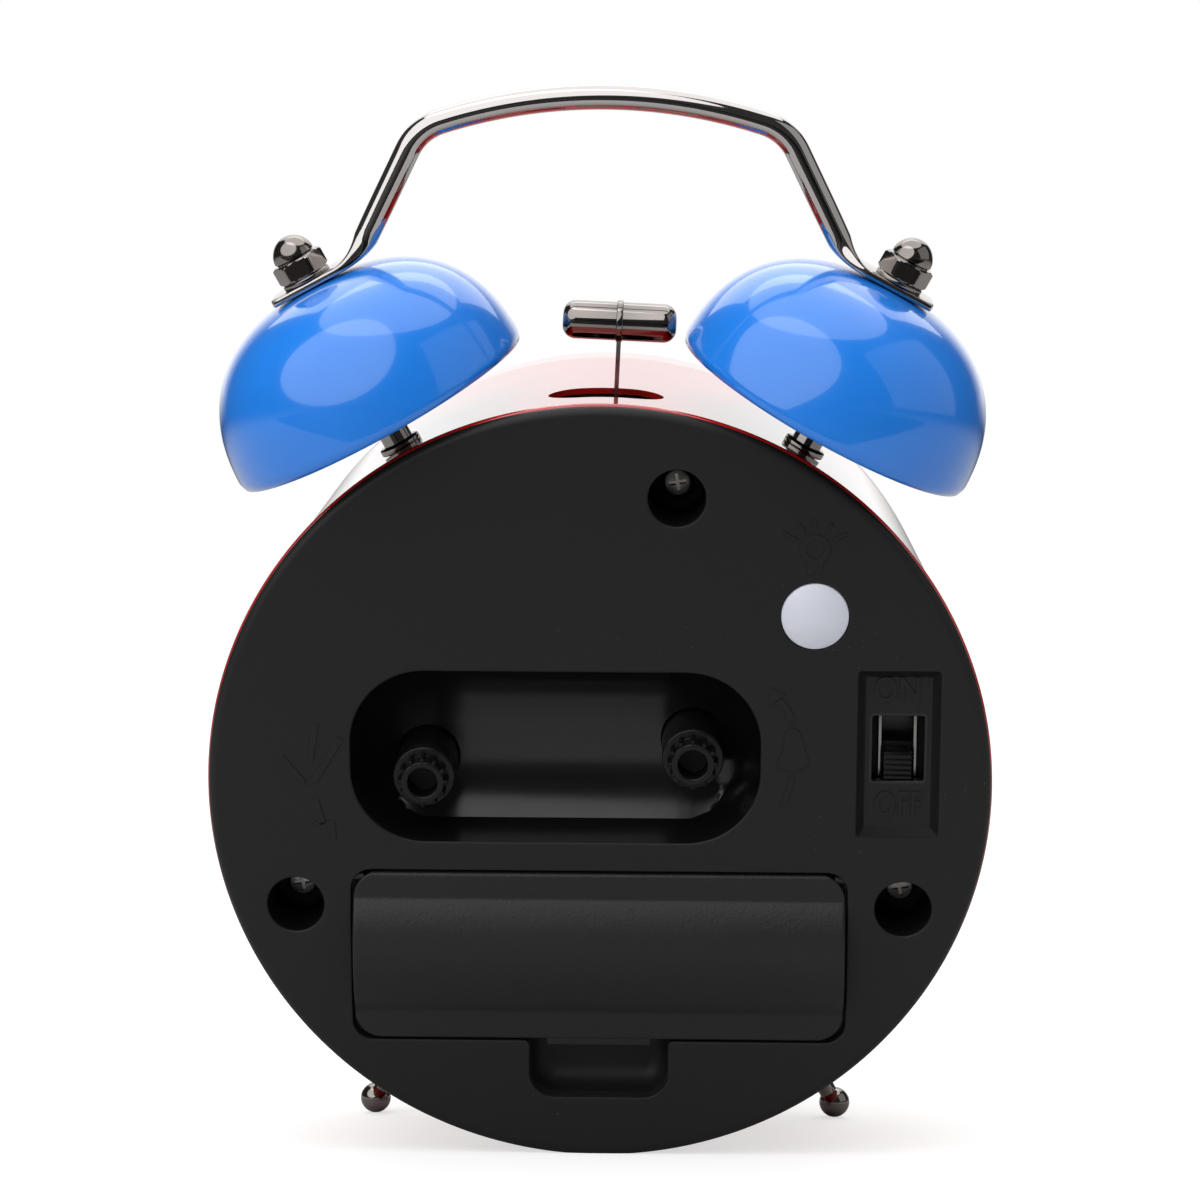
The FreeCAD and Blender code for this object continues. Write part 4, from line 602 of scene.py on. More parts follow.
def hexMesh(flats, z0, z1):  # rings of the hexagon, pulled in to a circle at the chamfered ends
    bm = bmesh.new()
    count, lip = 72, 0.02
    rows = []
    for z in [z0] + [z0 + lip + (z1 - z0 - 2 * lip) * k / 16 for k in range(17)] + [z1]:
        end = flats * 0.49 + min(z1 - z, z - z0) / tan(radians(nutSize.chamfer))
        reach = []
        for k in range(count):
            side = flats / 2 / cos(radians((360 * k / count + 30) % 60 - 30))
            reach.append(min(side, end, flats / sqrt(3) - nutSize.blunt))
        rows.append([bm.verts.new((r * a, r * b, z)) for r, (a, b) in zip(reach, ring(0, 0, 1, count))])
    skin(bm, rows)
    bm.faces.new(rows[0])
    bm.faces.new(rows[-1])
    return finishMesh(bm, 24)


def studShape():
    s = postSize
    end, shoulder, tip = s.base - s.tail, bellTop - bellSize.Wall, washerTop + s.overNut
    foot, collarTop = s.base - 0.02, s.base + s.collarHigh
    stud = softened([(0, end, 0), (s.thread, end, 0.3), (s.thread, foot, 0), (s.collar, foot, 0.1),
                     (s.collar, collarTop, 0.2), (s.shank, collarTop, 0.1), (s.shank, shoulder, 0.1),
                     (s.thread, shoulder, 0), (s.thread, tip, 0.3), (0, tip, 0)], 3)
    return upright(turnedMesh(stud, 48))


def washerShape():
    s, low = washerSize, bellTop + plateThick
    loop = softened([(s.bore, low, 0), (s.radius, low, 0.12), (s.radius, washerTop, 0.18),
                     (s.bore, washerTop, 0)], 3)
    return upright(turnedMesh(loop, 64, closed=True))


def nutShape():
    s = nutSize
    low, top = washerTop + s.hexHigh - 0.05, washerTop + s.high
    profile = [(0, low), (s.neck, low), (s.neck, low + 0.12), (s.dome, low + 0.35)] + arc(
        0, top - s.dome, s.dome, 0, 90, 15)
    dome = upright(turnedMesh(profile, 64))
    return joinedMesh(hexMesh(s.flats, washerTop, washerTop + s.hexHigh), dome)


for label, node, shape, turns in (  # turns: how the right and the left one stand on their posts
        ("stud", "bell_posts", studShape, (0, 0)), ("washer", "washers", washerShape, (0, 0)),
        ("nut", "cap_nuts", nutShape, (32, 28))):
    both = [onPost(turned(shape(), turn), side) for side, turn in zip((1, -1), turns)]
    addPiece("bell_" + label + "s", joinedMesh(*both), "dark_nickel", node)
print("posts and nuts made")

# Carry handle

handleSize = Sizes(rod=1.45, top=79.9, arch=60.6, corner=6.5, slope=25.9, foot=6.2, bend=8.0, width=5.6,
                   reach=4.6, early=0.10)


def handleLine():  # half of the centre line from the top outwards: place, direction, how flat it is
    s = handleSize
    slope, tilt = radians(s.slope), radians(bellPlace.tilt)
    archAt = Vector((0, s.top - s.rod - s.arch))
    rise = bellTop + plateThick / 2
    knee = Vector((bellPlace.x - s.foot * cos(tilt) + rise * sin(tilt),
                   bellPlace.z + s.foot * sin(tilt) + rise * cos(tilt)))
    up, outward = Vector((-sin(slope), cos(slope))), Vector((cos(slope), sin(slope)))
    offset = knee - outward * s.corner - archAt
    along = offset.dot(up)
    corner = offset + up * (sqrt(along ** 2 - offset.length_squared + (s.arch - s.corner) ** 2) - along)
    archEnd = atan2(corner.x, corner.y)
    line = []
    for centre, radius, first, last, steps in ((archAt, s.arch, 0, archEnd, 24),
                                               (corner + archAt, s.corner, archEnd, pi / 2 - slope, 14)):
        for k in range(1 if line else 0, steps + 1):
            a = first + (last - first) * k / steps
            line.append((centre + Vector((sin(a), cos(a))) * radius, Vector((cos(a), -sin(a))), 0.0))
    bend = pi / 2 - slope - tilt
    cut = s.bend * tan(bend / 2)
    legTop, legLow = line[-1][0], knee + up * cut
    for k in range(1, 13):
        line.append((legTop.lerp(legLow, k / 12), -up, s.early * max(0, k - 7) / 5))
    for share in [k / 16 for k in range(1, 17)]:
        turn = Matrix.Rotation(bend * share, 2)
        line.append((legLow + outward * s.bend - turn @ outward * s.bend, turn @ -up,
                     s.early + (1 - s.early) * share))
    flat, flatStart = Vector((cos(tilt), -sin(tilt))), line[-1][0]
    for k in range(1, 9):
        line.append((flatStart + flat * (s.reach - 0.25 + s.foot - cut) * k / 8, flat, 1.0))
    return line


def handleMesh():
    s = handleSize
    half = handleLine()
    line = [(Vector((-p.x, p.y)), Vector((d.x, -d.y)), f) for p, d, f in reversed(half[1:])] + half
    bm = bmesh.new()
    rows = []
    for place, way, flatness in line:
        ease = flatness * flatness * (3 - 2 * flatness)
        wide = s.rod + (s.width / 2 - s.rod) * ease
        thick = s.rod + (plateThick / 2 - s.rod) * ease ** 0.8
        power = 2 / (2 + 4 * ease)
        row = []
        for c, d in ring(0, 0, 1, 32):
            u, v = copysign(abs(c) ** power, c) * wide, copysign(abs(d) ** power, d) * thick
            row.append(bm.verts.new((place.x + way.y * v, bellPlace.y + u, place.y - way.x * v)))
        rows.append(row)
    skin(bm, rows)
    tilt = radians(bellPlace.tilt)
    for row, way in ((rows[0], -1), (rows[-1], 1)):  # softly rounded end faces
        centre = sum((v.co for v in row), Vector()) / len(row)
        end = Vector((way * cos(tilt), 0, -sin(tilt)))
        inner = [[bm.verts.new(centre + (v.co - centre) * share + end * push) for v in row]
                 for share, push in ((0.96, 0.12), (0.86, 0.22))]
        skin(bm, [row, *inner])
        bm.faces.new(inner[1])
    return finishMesh(bm, 40)


addPiece("carry_handle", handleMesh(), "dark_nickel", "handle", finish=[brightNickel])
print("handle made")

# Hammer

hammerSize = Sizes(x=-0.9, z=28.0, tilt=-2.6, arm=24.6, length=13.1, radius=2.22, round=1.5, band=0.75,
                   bandRadius=2.42)


def hammerMesh():
    s = hammerSize
    half, b = s.length / 2, s.band / 2
    body = softened([(0, -half, 0), (s.radius, -half, s.round), (s.radius, half, s.round), (0, half, 0)], 10)
    band = softened([(s.radius - 0.3, -b, 0), (s.bandRadius, -b, 0.15), (s.bandRadius, b, 0.15),
                     (s.radius - 0.3, b, 0)], 3)
    head = turned(joinedMesh(turnedMesh(body, 64), turnedMesh(band, 64, closed=True)), 90)
    return moved(shifted(head, 0, 0, s.arm), aboutY(s.tilt, s.x, bellPlace.y, s.z))


addPiece("hammer_bar", hammerMesh(), "dark_nickel", "hammer_head", body="hammer")
print("hammer made")

# Case

caseSize = Sizes(rear=45.0, front=42.0, wall=0.7, bead=0.4, beadWide=1.2, deep=48.5, cover=1.1, slotLong=13.4,
                 slotWide=7.6, slotFrom=20, slotTo=60, step=3.75)


def caseRadius(y):
    s = caseSize
    return s.rear + (s.front - s.rear) * (-y - s.cover) / (s.deep - s.cover)


def slotTool(s):  # what is cut out of the top for the hammer's arm
    flat, end = (s.slotLong - s.slotWide) / 2, s.slotWide / 2
    x, y = hammerSize.x / 2, bellPlace.y
    bm = bmesh.new()
    loop = arc(x + flat, y, end, -90, 90, 30) + arc(x - flat, y, end, 90, 270, 30)
    rows = [[bm.verts.new((a, b, z)) for a, b in loop] for z in (s.slotFrom, s.slotTo)]
    bridge(bm, *rows)
    bm.faces.new(rows[0])
    bm.faces.new(rows[1])
    return finishMesh(bm)


def caseMesh():
    s = caseSize
    back, half = -s.cover, s.beadWide / 2
    inner = [(caseRadius(y) - s.wall, y) for y in (-s.deep, back - s.beadWide, back)]
    bead = [(s.rear + s.bead * b, back - half + half * a) for a, b in arc(0, 0, 1, 0, 180, 12)]
    side = [(caseRadius(y), y) for y in [back - s.beadWide - 0.05 - k * s.step for k in range(12)]]
    front = [(s.front, -s.deep + 0.2), (s.front - 0.2, -s.deep)]
    shell = turnedMesh(inner + bead + side + front, 256, closed=True, sharp=50)
    return carved(shell, slotTool(s), sharp=50)


addPiece("case_drum", caseMesh(), "red_enamel", "case_shell")
print("case made")

# Back cover

coverSize = Sizes(radius=45.2, thick=2.0, rim=1.05, round=1.0, skirt=43.85, skirtDeep=6.0, edge=0.22)
recessSize = Sizes(left=-18.6, right=28.7, low=-6.2, high=14.3, corner=8.6, deep=11.0, floorRound=7.5,
                   lowShare=0.12, highShare=1.25, rampFrom=3.1, rampRound=19.0, rampStep=0.35, rampSteps=24,
                   wall=1.5, hole=3.8)
knobPlaces = {"time": (20.4, 0.9), "alarm": (-10.8, 3.3)}
wellSize = Sizes(radius=3.3, deep=9.2, floorEdge=0.3, floorInner=2.2)
wellPlaces = [(-8.8, 34.8), (35.3, -14.0), (-35.3, -14.0)]
buttonPlace = Sizes(x=-24.6, z=21.1, hole=3.95)
panelSize = Sizes(x=-34.4, wide=9.3, low=-5.1, high=14.6, deep=1.0, bevel=0.8, window=6.0, windowLow=1.3,
                  windowHigh=9.1)
doorSize = Sizes(half=28.6, low=-30.4, high=-9.9, corner=3.2, opening=2.4, gap=0.25, thick=1.5, edge=0.3,
                 ledge=1.7, bulge=12.1, crownZ=-20.05, crownY=-9.9, bulgeZ=-18.3, cellY=-6.6, hollow=7.45,
                 bayHalf=27.2, bayLow=-25.8, bayHigh=-10.8, bayDeep=14.1, latch=6.1, latchLow=-31.2,
                 latchDeep=3.5, catchIn=1.2, pin=0.5, border=2.2)
notchSize = Sizes(half=8.15, low=-37.7, deep=5.0, corner=3.0, inset=0.06, top=2.6, scoop=2.4)


def rimSteps(edge, y=0.0):  # a level support ring, then a rounded edge down to the wall
    return [(edge * 2.5, y), (edge, y)] + arc(edge, y - edge, edge, 112.5, 180, 3)


def coverMesh():
    c, r, p, d, n, w = coverSize, recessSize, panelSize, doorSize, notchSize, wellSize
    bm = bmesh.new()
    skirt = c.skirt - c.radius
    outer = rings(bm, ring(0, 0, c.radius, 256), [(-c.round - 0.4, 0), (-c.round, 0)]
                  + arc(-c.round, -c.round, c.round, 75, 0, 5)
                  + [(0, -c.rim + 0.05), (-0.1, -c.rim), (skirt, -c.rim), (skirt, -c.skirtDeep)])
    recess = rings(bm, rectangle(r.left, r.right, r.low, r.high, r.corner, 16), rimSteps(c.edge))
    level = [outer[0], recess[0]]
    for x, z in wellPlaces:
        # the well's walls below the rim and its floor take the near-black third finish: painted shade in the
        # wells
        well = rings(bm, ring(x, z, w.radius, 64), rimSteps(c.edge) + [
            (0, w.floorEdge - w.deep), (-w.floorEdge, -w.deep), (-w.floorInner, -w.deep)], 2, 5)
        level.append(well[0])
        fillLevel(bm, [well[-1]], 2)
    hole = ring(buttonPlace.x, buttonPlace.z, buttonPlace.hole, 96)
    level.append(rings(bm, hole, rimSteps(0.12) + [(0, -c.thick)])[0])
    half = p.wide / 2
    sunk = [rowAt(bm, rectangle(p.x - half - out, p.x + half + out, p.low - out, p.high + out,
                                max(0.05, 0.3 + out), 3), y)
            for out, y in ((0.5, 0), (0.15, 0), (0.06, -0.04), (0, -0.12), (0.05 - p.bevel, 0.08 - p.deep),
                           (-p.bevel - 0.05, -p.deep), (-p.bevel - 0.3, -p.deep))]
    skin(bm, sunk[:2])
    # the sunk panel's walls take the near-black third finish: painted shade along the panel's edge
    skin(bm, sunk[1:6], 2)
    skin(bm, sunk[5:])
    level.append(sunk[0])
    window = rectangle(p.x - p.window / 2, p.x + p.window / 2, p.windowLow, p.windowHigh, 0.25, 3)
    windowRim = rings(bm, window, rimSteps(0.12, -p.deep) + [(0, -c.thick - 0.2)], 1)
    fillLevel(bm, [sunk[-1], windowRim[0]])
    low, high, wide = d.low - d.gap, d.high + d.gap, d.half + d.gap
    opening = softened([(-wide, high, d.opening), (wide, high, d.opening), (wide, low, d.opening),
                        (n.half, low, 0.6), (n.half, n.low, n.corner), (-n.half, n.low, n.corner),
                        (-n.half, low, 0.6), (-wide, low, d.opening)], 8)
    door = rings(bm, opening, rimSteps(0.15) + [(0, -d.ledge)])
    level.append(door[0])
    bay = rectangle(-d.bayHalf, d.bayHalf, d.bayLow, d.bayHigh, 0.6, 3)
    pit = rings(bm, bay, rimSteps(0.12, -d.ledge) + [(0, -d.bayDeep)])
    fillLevel(bm, [pit[-1]])
    side, top, bottom = n.half - n.inset, low + n.top, n.low + n.inset
    notch = softened([(-side, top, n.top), (side, top, n.top), (side, bottom, n.corner),
                      (-side, bottom, n.corner)], 8)
    grip = rings(bm, notch, [(0, -d.ledge)] + arc(-n.scoop, n.scoop - n.deep, n.scoop, 0, -90, 9))
    fillLevel(bm, [grip[-1]])
    fillLevel(bm, [door[-1], pit[0], grip[0]])
    fillLevel(bm, level)
    return finishMesh(bm, 38, 0.0002)


def tubMesh():  # the shiny knob recess: a closed shell with two holes for the knobs
    r = recessSize
    under, top, big, start = -r.deep - r.wall, r.rampFrom, r.rampRound, -coverSize.edge - 0.02
    bm = bmesh.new()
    steps = [(r.wall, under), (r.wall, start), (0, start)] + arc(
        -r.floorRound, r.floorRound - r.deep, r.floorRound, 0, -90, 18)
    rows = rings(bm, rectangle(r.left, r.right, r.low, r.high, r.corner, 16), steps)
    for (out, _), row in zip(steps, rows):  # steep at the lower side, slow at the upper one
        if out < 0:
            bottom, newBottom, newTop = r.low - out, r.low - out * r.lowShare, r.high + out * r.highShare
            for v in row:
                v.co.z = newBottom + (v.co.z - bottom) * (newTop - newBottom) / (r.high + out - bottom)
    fillLevel(bm, [rows[0]])
    fillLevel(bm, [rows[-1]])
    for k in range(r.rampSteps):
        bmesh.ops.bisect_plane(bm, geom=bm.verts[:] + bm.edges[:] + bm.faces[:],
                               plane_co=(0, 0, top - r.rampStep * k), plane_no=(0, 0, 1))
    for v in bm.verts:
        if v.co.y > -r.deep - 0.01 and v.co.z < top:
            v.co.y = max(v.co.y, big - sqrt(big ** 2 - (top - v.co.z) ** 2) - r.deep)
    hole = [(0, under - 1), (r.hole, under - 1), (r.hole, 0), (0, 0)]
    holes = [shifted(turnedMesh(hole, 64), x, 0, z) for x, z in knobPlaces.values()]
    mesh = carved(finishMesh(bm), *holes, sharp=40)
    for face in mesh.polygons:
        face.material_index = 1
    return mesh


# the third finish, deepBlack, is painted shade in the wells and along the sunk panel's walls
addPiece("cover_moulding", joinedMesh(coverMesh(), tubMesh()), "black_moulding", "back_cover",
         finish=[finishes["black_moulding"], finishes["black_gloss"], deepBlack])
print("cover made")

# Repeated shapes


def copiesTree(name, numbers, makePoints, turn=None):  # copies of one shape at points, all made real
    tree, entry, outlet = shapeTree(name, numbers, ("Shape", "Object", None))
    shape = addNode(tree, "GeometryNodeObjectInfo", Object=entry.outputs["Shape"])
    copies = addNode(tree, "GeometryNodeInstanceOnPoints", Points=makePoints(tree, entry),
                     Instance=shape.outputs["Geometry"])
    if turn:
        fed(tree, copies, Rotation=turn(tree, entry))
    return closeTree(tree, copies.outputs[0], entry, outlet)


def samePlace(tree, entry):
    return addNode(tree, "GeometryNodeMeshLine", Count=entry.outputs["Count"], Offset=(0, 0, 0)).outputs[0]


def evenTurn(tree, entry):  # copy number times the share of a full turn, about the drum's direction
    number = tree.nodes.new("GeometryNodeInputIndex")
    angle = sums(tree, "DIVIDE", sums(tree, "MULTIPLY", number.outputs[0], 2 * pi), entry.outputs["Count"])
    return addNode(tree, "ShaderNodeCombineXYZ", Y=angle).outputs[0]


def risingPlaces(tree, entry):
    step = addNode(tree, "ShaderNodeCombineXYZ", Z=entry.outputs["Step"])
    return addNode(tree, "GeometryNodeMeshLine", Count=entry.outputs["Count"],
                   Offset=step.outputs[0]).outputs[0]


aroundAxis = copiesTree("aroundAxis", {"Count": 12}, samePlace, evenTurn)
upRow = copiesTree("upRow", {"Count": 5, "Step": 0.64}, risingPlaces)
atPlaces = copiesTree("atPlaces", {}, lambda tree, entry: entry.outputs["Geometry"])


def copied(shape, tree, values, material, places=((0, 0, 0),)):
    pattern = addObject("pattern", shape)
    points = bpy.data.meshes.new("points")
    points.from_pydata(list(places), [], [])
    result = grownFrom(points, tree, {**values, "Shape": pattern}, material)
    bpy.data.objects.remove(pattern)
    return result


# Screws at the bottom of the wells

screwSize = Sizes(head=1.8, high=1.2, slot=0.5, cross=1.08, shank=1.0, length=9.0, turn=9)


def screwMesh():
    s, low = screwSize, -wellSize.deep
    top, end = low + s.high, low - s.length
    profile = softened([(0, end, 0), (s.shank, end, 0.3), (s.shank, low, 0), (s.head, low, 0.1),
                        (s.head, top - 0.15, 0.45), (0, top, 0)], 5)
    tools = [boxMesh((-a, a), (top - s.slot, top + 1), (-b, b), 0.05, 1)
             for a, b in ((s.cross, s.slot / 2), (s.slot / 2, s.cross))]
    return turned(carved(turnedMesh(profile, 48), *tools, sharp=30), s.turn, "Y")


screws = copied(screwMesh(), atPlaces, {}, finishes["steel"], [(x, 0, z) for x, z in wellPlaces])
addPiece("well_screws", screws, "steel", "cover_screws")

# Battery lid and cell


def insideDistance(x, z, s):  # how far a place is inside the lid's rounded rectangle
    a = abs(x) - (s.half - s.corner)
    b = abs(z - (s.low + s.high) / 2) - ((s.high - s.low) / 2 - s.corner)
    return s.corner - hypot(max(a, 0), max(b, 0)) - min(max(a, b), 0)


def roundDrop(radius, near):  # how far a rounded edge falls at this distance from its end
    return radius - sqrt(max(0.0, radius ** 2 - max(0.0, radius - near) ** 2))


def crest(radius, offset, base):  # the top of a cylinder at this distance from its axis
    return sqrt(max(0.0, radius ** 2 - offset ** 2)) + base


def lidMesh():
    d = doorSize
    low, high, hinge = d.low, d.high, d.thick / 2
    fine = [0, 0.03, 0.08, 0.14, 0.21, 0.3, 0.5]
    side = fine + [1.0, d.half - d.bayHalf - 0.03, d.half - d.bayHalf + 0.03, d.border]
    top = [0, 0.03, 0.08, 0.16, 0.28, 0.42, 0.58, 0.75, 1.0]
    middle = [low + 0.5 + (high - 1.0 - low - 0.5) * k / 90 for k in range(1, 90)]
    bm = bmesh.new()
    upper, lower = [], []
    for z in [low + s for s in fine] + middle + [high - s for s in reversed(top)]:
        wide = d.half - roundDrop(d.corner, min(z - low, high - z))
        inner = [(-1 + k / 10) * (wide - d.border) for k in range(1, 20)]
        hingeDrop = roundDrop(hinge, high - z)
        out = crest(d.bulge, z - d.crownZ, d.crownY)
        swell = max(out, 0.0) + (max(0.1 - abs(out), 0) / 0.1) ** 2 * 0.025
        hollow = crest(d.hollow, z - d.bulgeZ, d.cellY)
        upperRow, lowerRow = [], []
        for x in [-wide + s for s in side] + inner + [wide - s for s in reversed(side)]:
            drop = roundDrop(d.edge, max(0.0, insideDistance(x, z, d)))
            if high - z < hinge:
                drop = max(drop if abs(x) > wide - d.edge else 0.0, hingeDrop)
            under = hingeDrop - d.thick
            if abs(x) < d.bayHalf:
                under = max(hollow, under)
            upperRow.append(bm.verts.new((x, swell - drop, z)))
            lowerRow.append(bm.verts.new((x, under, z)))
        upper.append(upperRow)
        lower.append(lowerRow)
    borders = []
    for rows in (upper, lower):
        skin(bm, rows, closed=False)
        borders.append(rows[0] + [row[-1] for row in rows[1:]] + rows[-1][-2::-1] +
                       [row[0] for row in rows[-2:0:-1]])
    bridge(bm, *borders)
    latch = boxMesh((-d.latch, d.latch), (-d.latchDeep, -0.12), (d.latchLow, low + 0.4), 0.18, 3)
    catch = boxMesh((d.catchIn - d.latch, d.latch - d.catchIn), (-d.latchDeep, 0.8 - d.latchDeep),
                    (d.latchLow - 0.35, d.latchLow + 0.2), 0.15, 3)
    pin = softened([(0, -1.2, 0), (d.pin, -1.2, 0), (d.pin, 1.0, 0.2), (0, 1.0, 0)], 3)
    pins = [shifted(turned(turnedMesh(pin, 24), -90 * way), way * d.half, -hinge, high - hinge)
            for way in (1, -1)]
    return joinedMesh(finishMesh(bm, 38), latch, catch, *pins)


addPiece("battery_lid_door", lidMesh(), "black_moulding", "battery_door", body="battery_lid",
         finish=[doorBlack])

cellSize = Sizes(start=-23.8, end=25.7, radius=7.1, dish=5.6, nub=2.75, nubEnd=26.7)


def cellMesh():
    c = cellSize
    start, end = c.start + 0.12, c.end - 0.25
    profile = softened([(0, start, 0), (c.dish - 0.4, start, 0.1), (c.dish, c.start, 0.15),
                        (c.radius, c.start, 0.55), (c.radius, c.end, 0.55), (c.dish + 0.3, c.end, 0.15),
                        (c.dish, end, 0.1), (c.nub + 0.3, end, 0.15), (c.nub, c.nubEnd, 0.35),
                        (0, c.nubEnd, 0)], 5)
    return shifted(turned(turnedMesh(profile, 96), -90), 0, doorSize.cellY, doorSize.bulgeZ)


addPiece("power_cell", cellMesh(), "cell_jacket", "battery_cell")
print("battery lid and cell made")

# Light button, alarm slider and the two setting knobs

buttonSize = Sizes(radius=3.87, edge=-0.1, dome=0.9, flange=4.77, flangeTop=-2.15, flangeLow=-2.95, stem=1.6,
                   end=-4.95)


def buttonMesh():
    b = buttonSize
    ball = (b.radius ** 2 + b.dome ** 2) / (2 * b.dome)
    cap = []
    for k in range(15):
        r = (b.radius - 0.12) * sin(pi / 2 * k / 14)
        cap.append((r, b.edge + b.dome - ball + sqrt(ball ** 2 - r ** 2)))
    cap.append((b.radius - 0.04, cap[-1][1] - 0.05))
    rest = [(b.radius, cap[-2][1] - 0.16), (b.radius, b.flangeTop), (b.flange, b.flangeTop),
            (b.flange, b.flangeLow), (b.stem, b.flangeLow), (b.stem, b.end), (0, b.end)]
    return shifted(turnedMesh(cap + rest, 96), buttonPlace.x, 0, buttonPlace.z)


addPiece("light_button_cap", buttonMesh(), "pale_moulding", "light_button", body="light_push")

sliderSize = Sizes(x=-34.4, wide=3.2, low=1.4, high=4.6, face=-1.3, ridges=5, ridgeDeep=0.25, under=-4.0,
                   footTop=-4.15, footLow=-6.2, foot=2.4, lip=0.6)


def sliderMesh():
    s = sliderSize
    half, step, base = s.wide / 2, (s.high - s.low) / s.ridges, s.face - s.ridgeDeep
    across, along = (s.x - half, s.x + half), (s.low, s.high)
    one = boxMesh(across, (base - 0.3, s.face), (s.low, s.low + step * 2 / 3), 0.1)
    ridges = copied(one, upRow, {"Count": s.ridges, "Step": step}, knobBlack)
    neck = (s.x - half + 0.02, s.x + half - 0.02)
    return joinedMesh(ridges, boxMesh(across, (s.under, base), along, 0.08),
                      boxMesh(neck, (s.footTop - 0.5, s.under + 0.4), along, 0.05, 1),
                      boxMesh((s.x - s.foot, s.x + s.foot), (s.footLow, s.footTop),
                              (s.low - s.lip, s.high + s.lip), 0.15))


addPiece("alarm_slide_knob", sliderMesh(), "black_gloss", "alarm_slider", body="alarm_switch",
         finish=[knobBlack])

switchSize = Sizes(x=-34.4, z=5.2, half=3.8, halfHigh=6.5, plate=0.4, face=-3.6, back=-8.8, slot=1.8,
                   slotLow=1.2, slotHigh=9.2, rail=0.5, railTop=-2.6, edge=0.05, railEdge=0.16)


def switchFrameMesh():  # bent plate with a slot and two bright rails; the plate has a near-black finish as painted shade, for the shadow it sits in behind the cover
    s = switchSize
    low, high, under = s.z - s.halfHigh, s.z + s.halfHigh, s.face - s.plate
    parts = [boxMesh((s.x - s.half, s.x + s.half), (under, s.face), ends, s.edge, 1)
             for ends in ((low, s.slotLow), (s.slotHigh, high))]
    rails = []
    for way in (1, -1):
        for near, deep in ((s.slot, under), (s.half - s.plate, s.back)):
            across = (s.x + way * near, s.x + way * s.half)
            parts.append(boxMesh(across, (deep, s.face), (low, high), s.edge, 1))
        rails.append(boxMesh((s.x + way * s.slot, s.x + way * (s.slot + s.rail)), (under, s.railTop),
                             (s.slotLow + 0.1, s.slotHigh - 0.1), s.railEdge, 3))
    plate = joinedMesh(*parts)
    # the plate takes the near-black second finish: painted shade
    for face in plate.polygons:
        face.material_index = 1
    return joinedMesh(plate, *rails)


addPiece("switch_steel_frame", switchFrameMesh(), "steel", "switch_frame",
         finish=[finishes["steel"], deepBlack])

knobSize = Sizes(radius=3.6, low=-13.5, grip=-2.4, hub=2.5, ribs=12, rib=2.95, ribWide=0.5, bore=1.72,
                 boreDeep=3.0)


def knobMesh(x, z):
    k = knobSize
    body = turnedMesh(softened([(0, k.low, 0), (k.radius, k.low, 0.15), (k.radius, k.grip, 0.3),
                                (k.hub, k.grip, 0.12), (k.hub, 0, 0.22), (k.bore, 0, 0.22),
                                (k.bore, -k.boreDeep, 0.2), (0, -k.boreDeep, 0)], 4))
    for face in body.polygons:  # the bore gets the near-black second finish: painted shade in the hollow
        if hypot(face.center.x, face.center.z) < k.bore + 0.02 and face.center.y > k.low + 1:
            face.material_index = 1
    rib = boxMesh((k.hub - 0.3, k.rib), (k.grip - 0.1, -0.02), (-k.ribWide / 2, k.ribWide / 2), 0.17, 3)
    ribs = copied(rib, aroundAxis, {"Count": k.ribs}, knobBlack)
    return shifted(joinedMesh(body, ribs), x, 0, z)


for word in ("time", "alarm"):
    addPiece(word + "_setting_knob", knobMesh(*knobPlaces[word]), "black_gloss", word + "_knob",
             body=word + "_set", finish=[knobBlack, deepBlack])
print("button, slider and knobs made")

# Raised marks on the cover, in its own black

markSize = Sizes(low=-0.15, high=0.13, edge=0.06, letters=4.2, spacing=1.06, bold=0.06)
timeStrokes = (([(36.7, 4.1), (34.0, 0.8)], 0.55), ([(32.6, 7.9), (33.3, 3.4)], 0.7),
               ([(29.75, 6.25), (33.0, 1.0)], 0.8))
timeArrow = Sizes(radius=12.6, start=-9, end=-24, wide=0.9, head=((1.25, 0.25), (-1.35, 0.55), (-1.5, -1.9)))
alarmBell = [(-21.9, 7.9), (-22.6, 7.8), (-23.2, 7.2), (-23.55, 5.6), (-24.3, 3.6), (-22.4, 2.6),
             (-20.3, 3.3), (-21.2, 5.2), (-21.35, 7.1)]
alarmHead = [(-19.5, 12.7), (-19.6, 10.6), (-21.4, 11.9)]
alarmStrokes = (([(-22.2, 8.7), (-21.5, 10.1), (-20.6, 11.1)], 0.9),
                ([(-22.2, 1.9), (-21.9, 0.4), (-21.2, -1.4)], 0.6))
lightMark = Sizes(x=-24.5, z=29.0, bulb=1.75, hollow=1.05, near=2.3, wide=0.35,
                  rays=((28, 4.1), (58, 3.6), (90, 3.5), (122, 3.6), (152, 4.1)))
switchWords = {"ON": (-34.2, 12.1, 0.80), "OFF": (-34.5, -1.6, 0.72)}


def band(line, wide):  # outline of a strip along a line of places
    left, right = [], []
    for i, (x, z) in enumerate(line):
        before, after = line[max(0, i - 1)], line[min(len(line) - 1, i + 1)]
        way = Vector((after[0] - before[0], after[1] - before[1])).normalized() * (wide / 2)
        left.append((x - way.y, z + way.x))
        right.append((x + way.y, z - way.x))
    return left + right[::-1]


def mark(outline, holes=()):
    return plateMesh(outline, markSize.low, markSize.high, markSize.edge, holes)


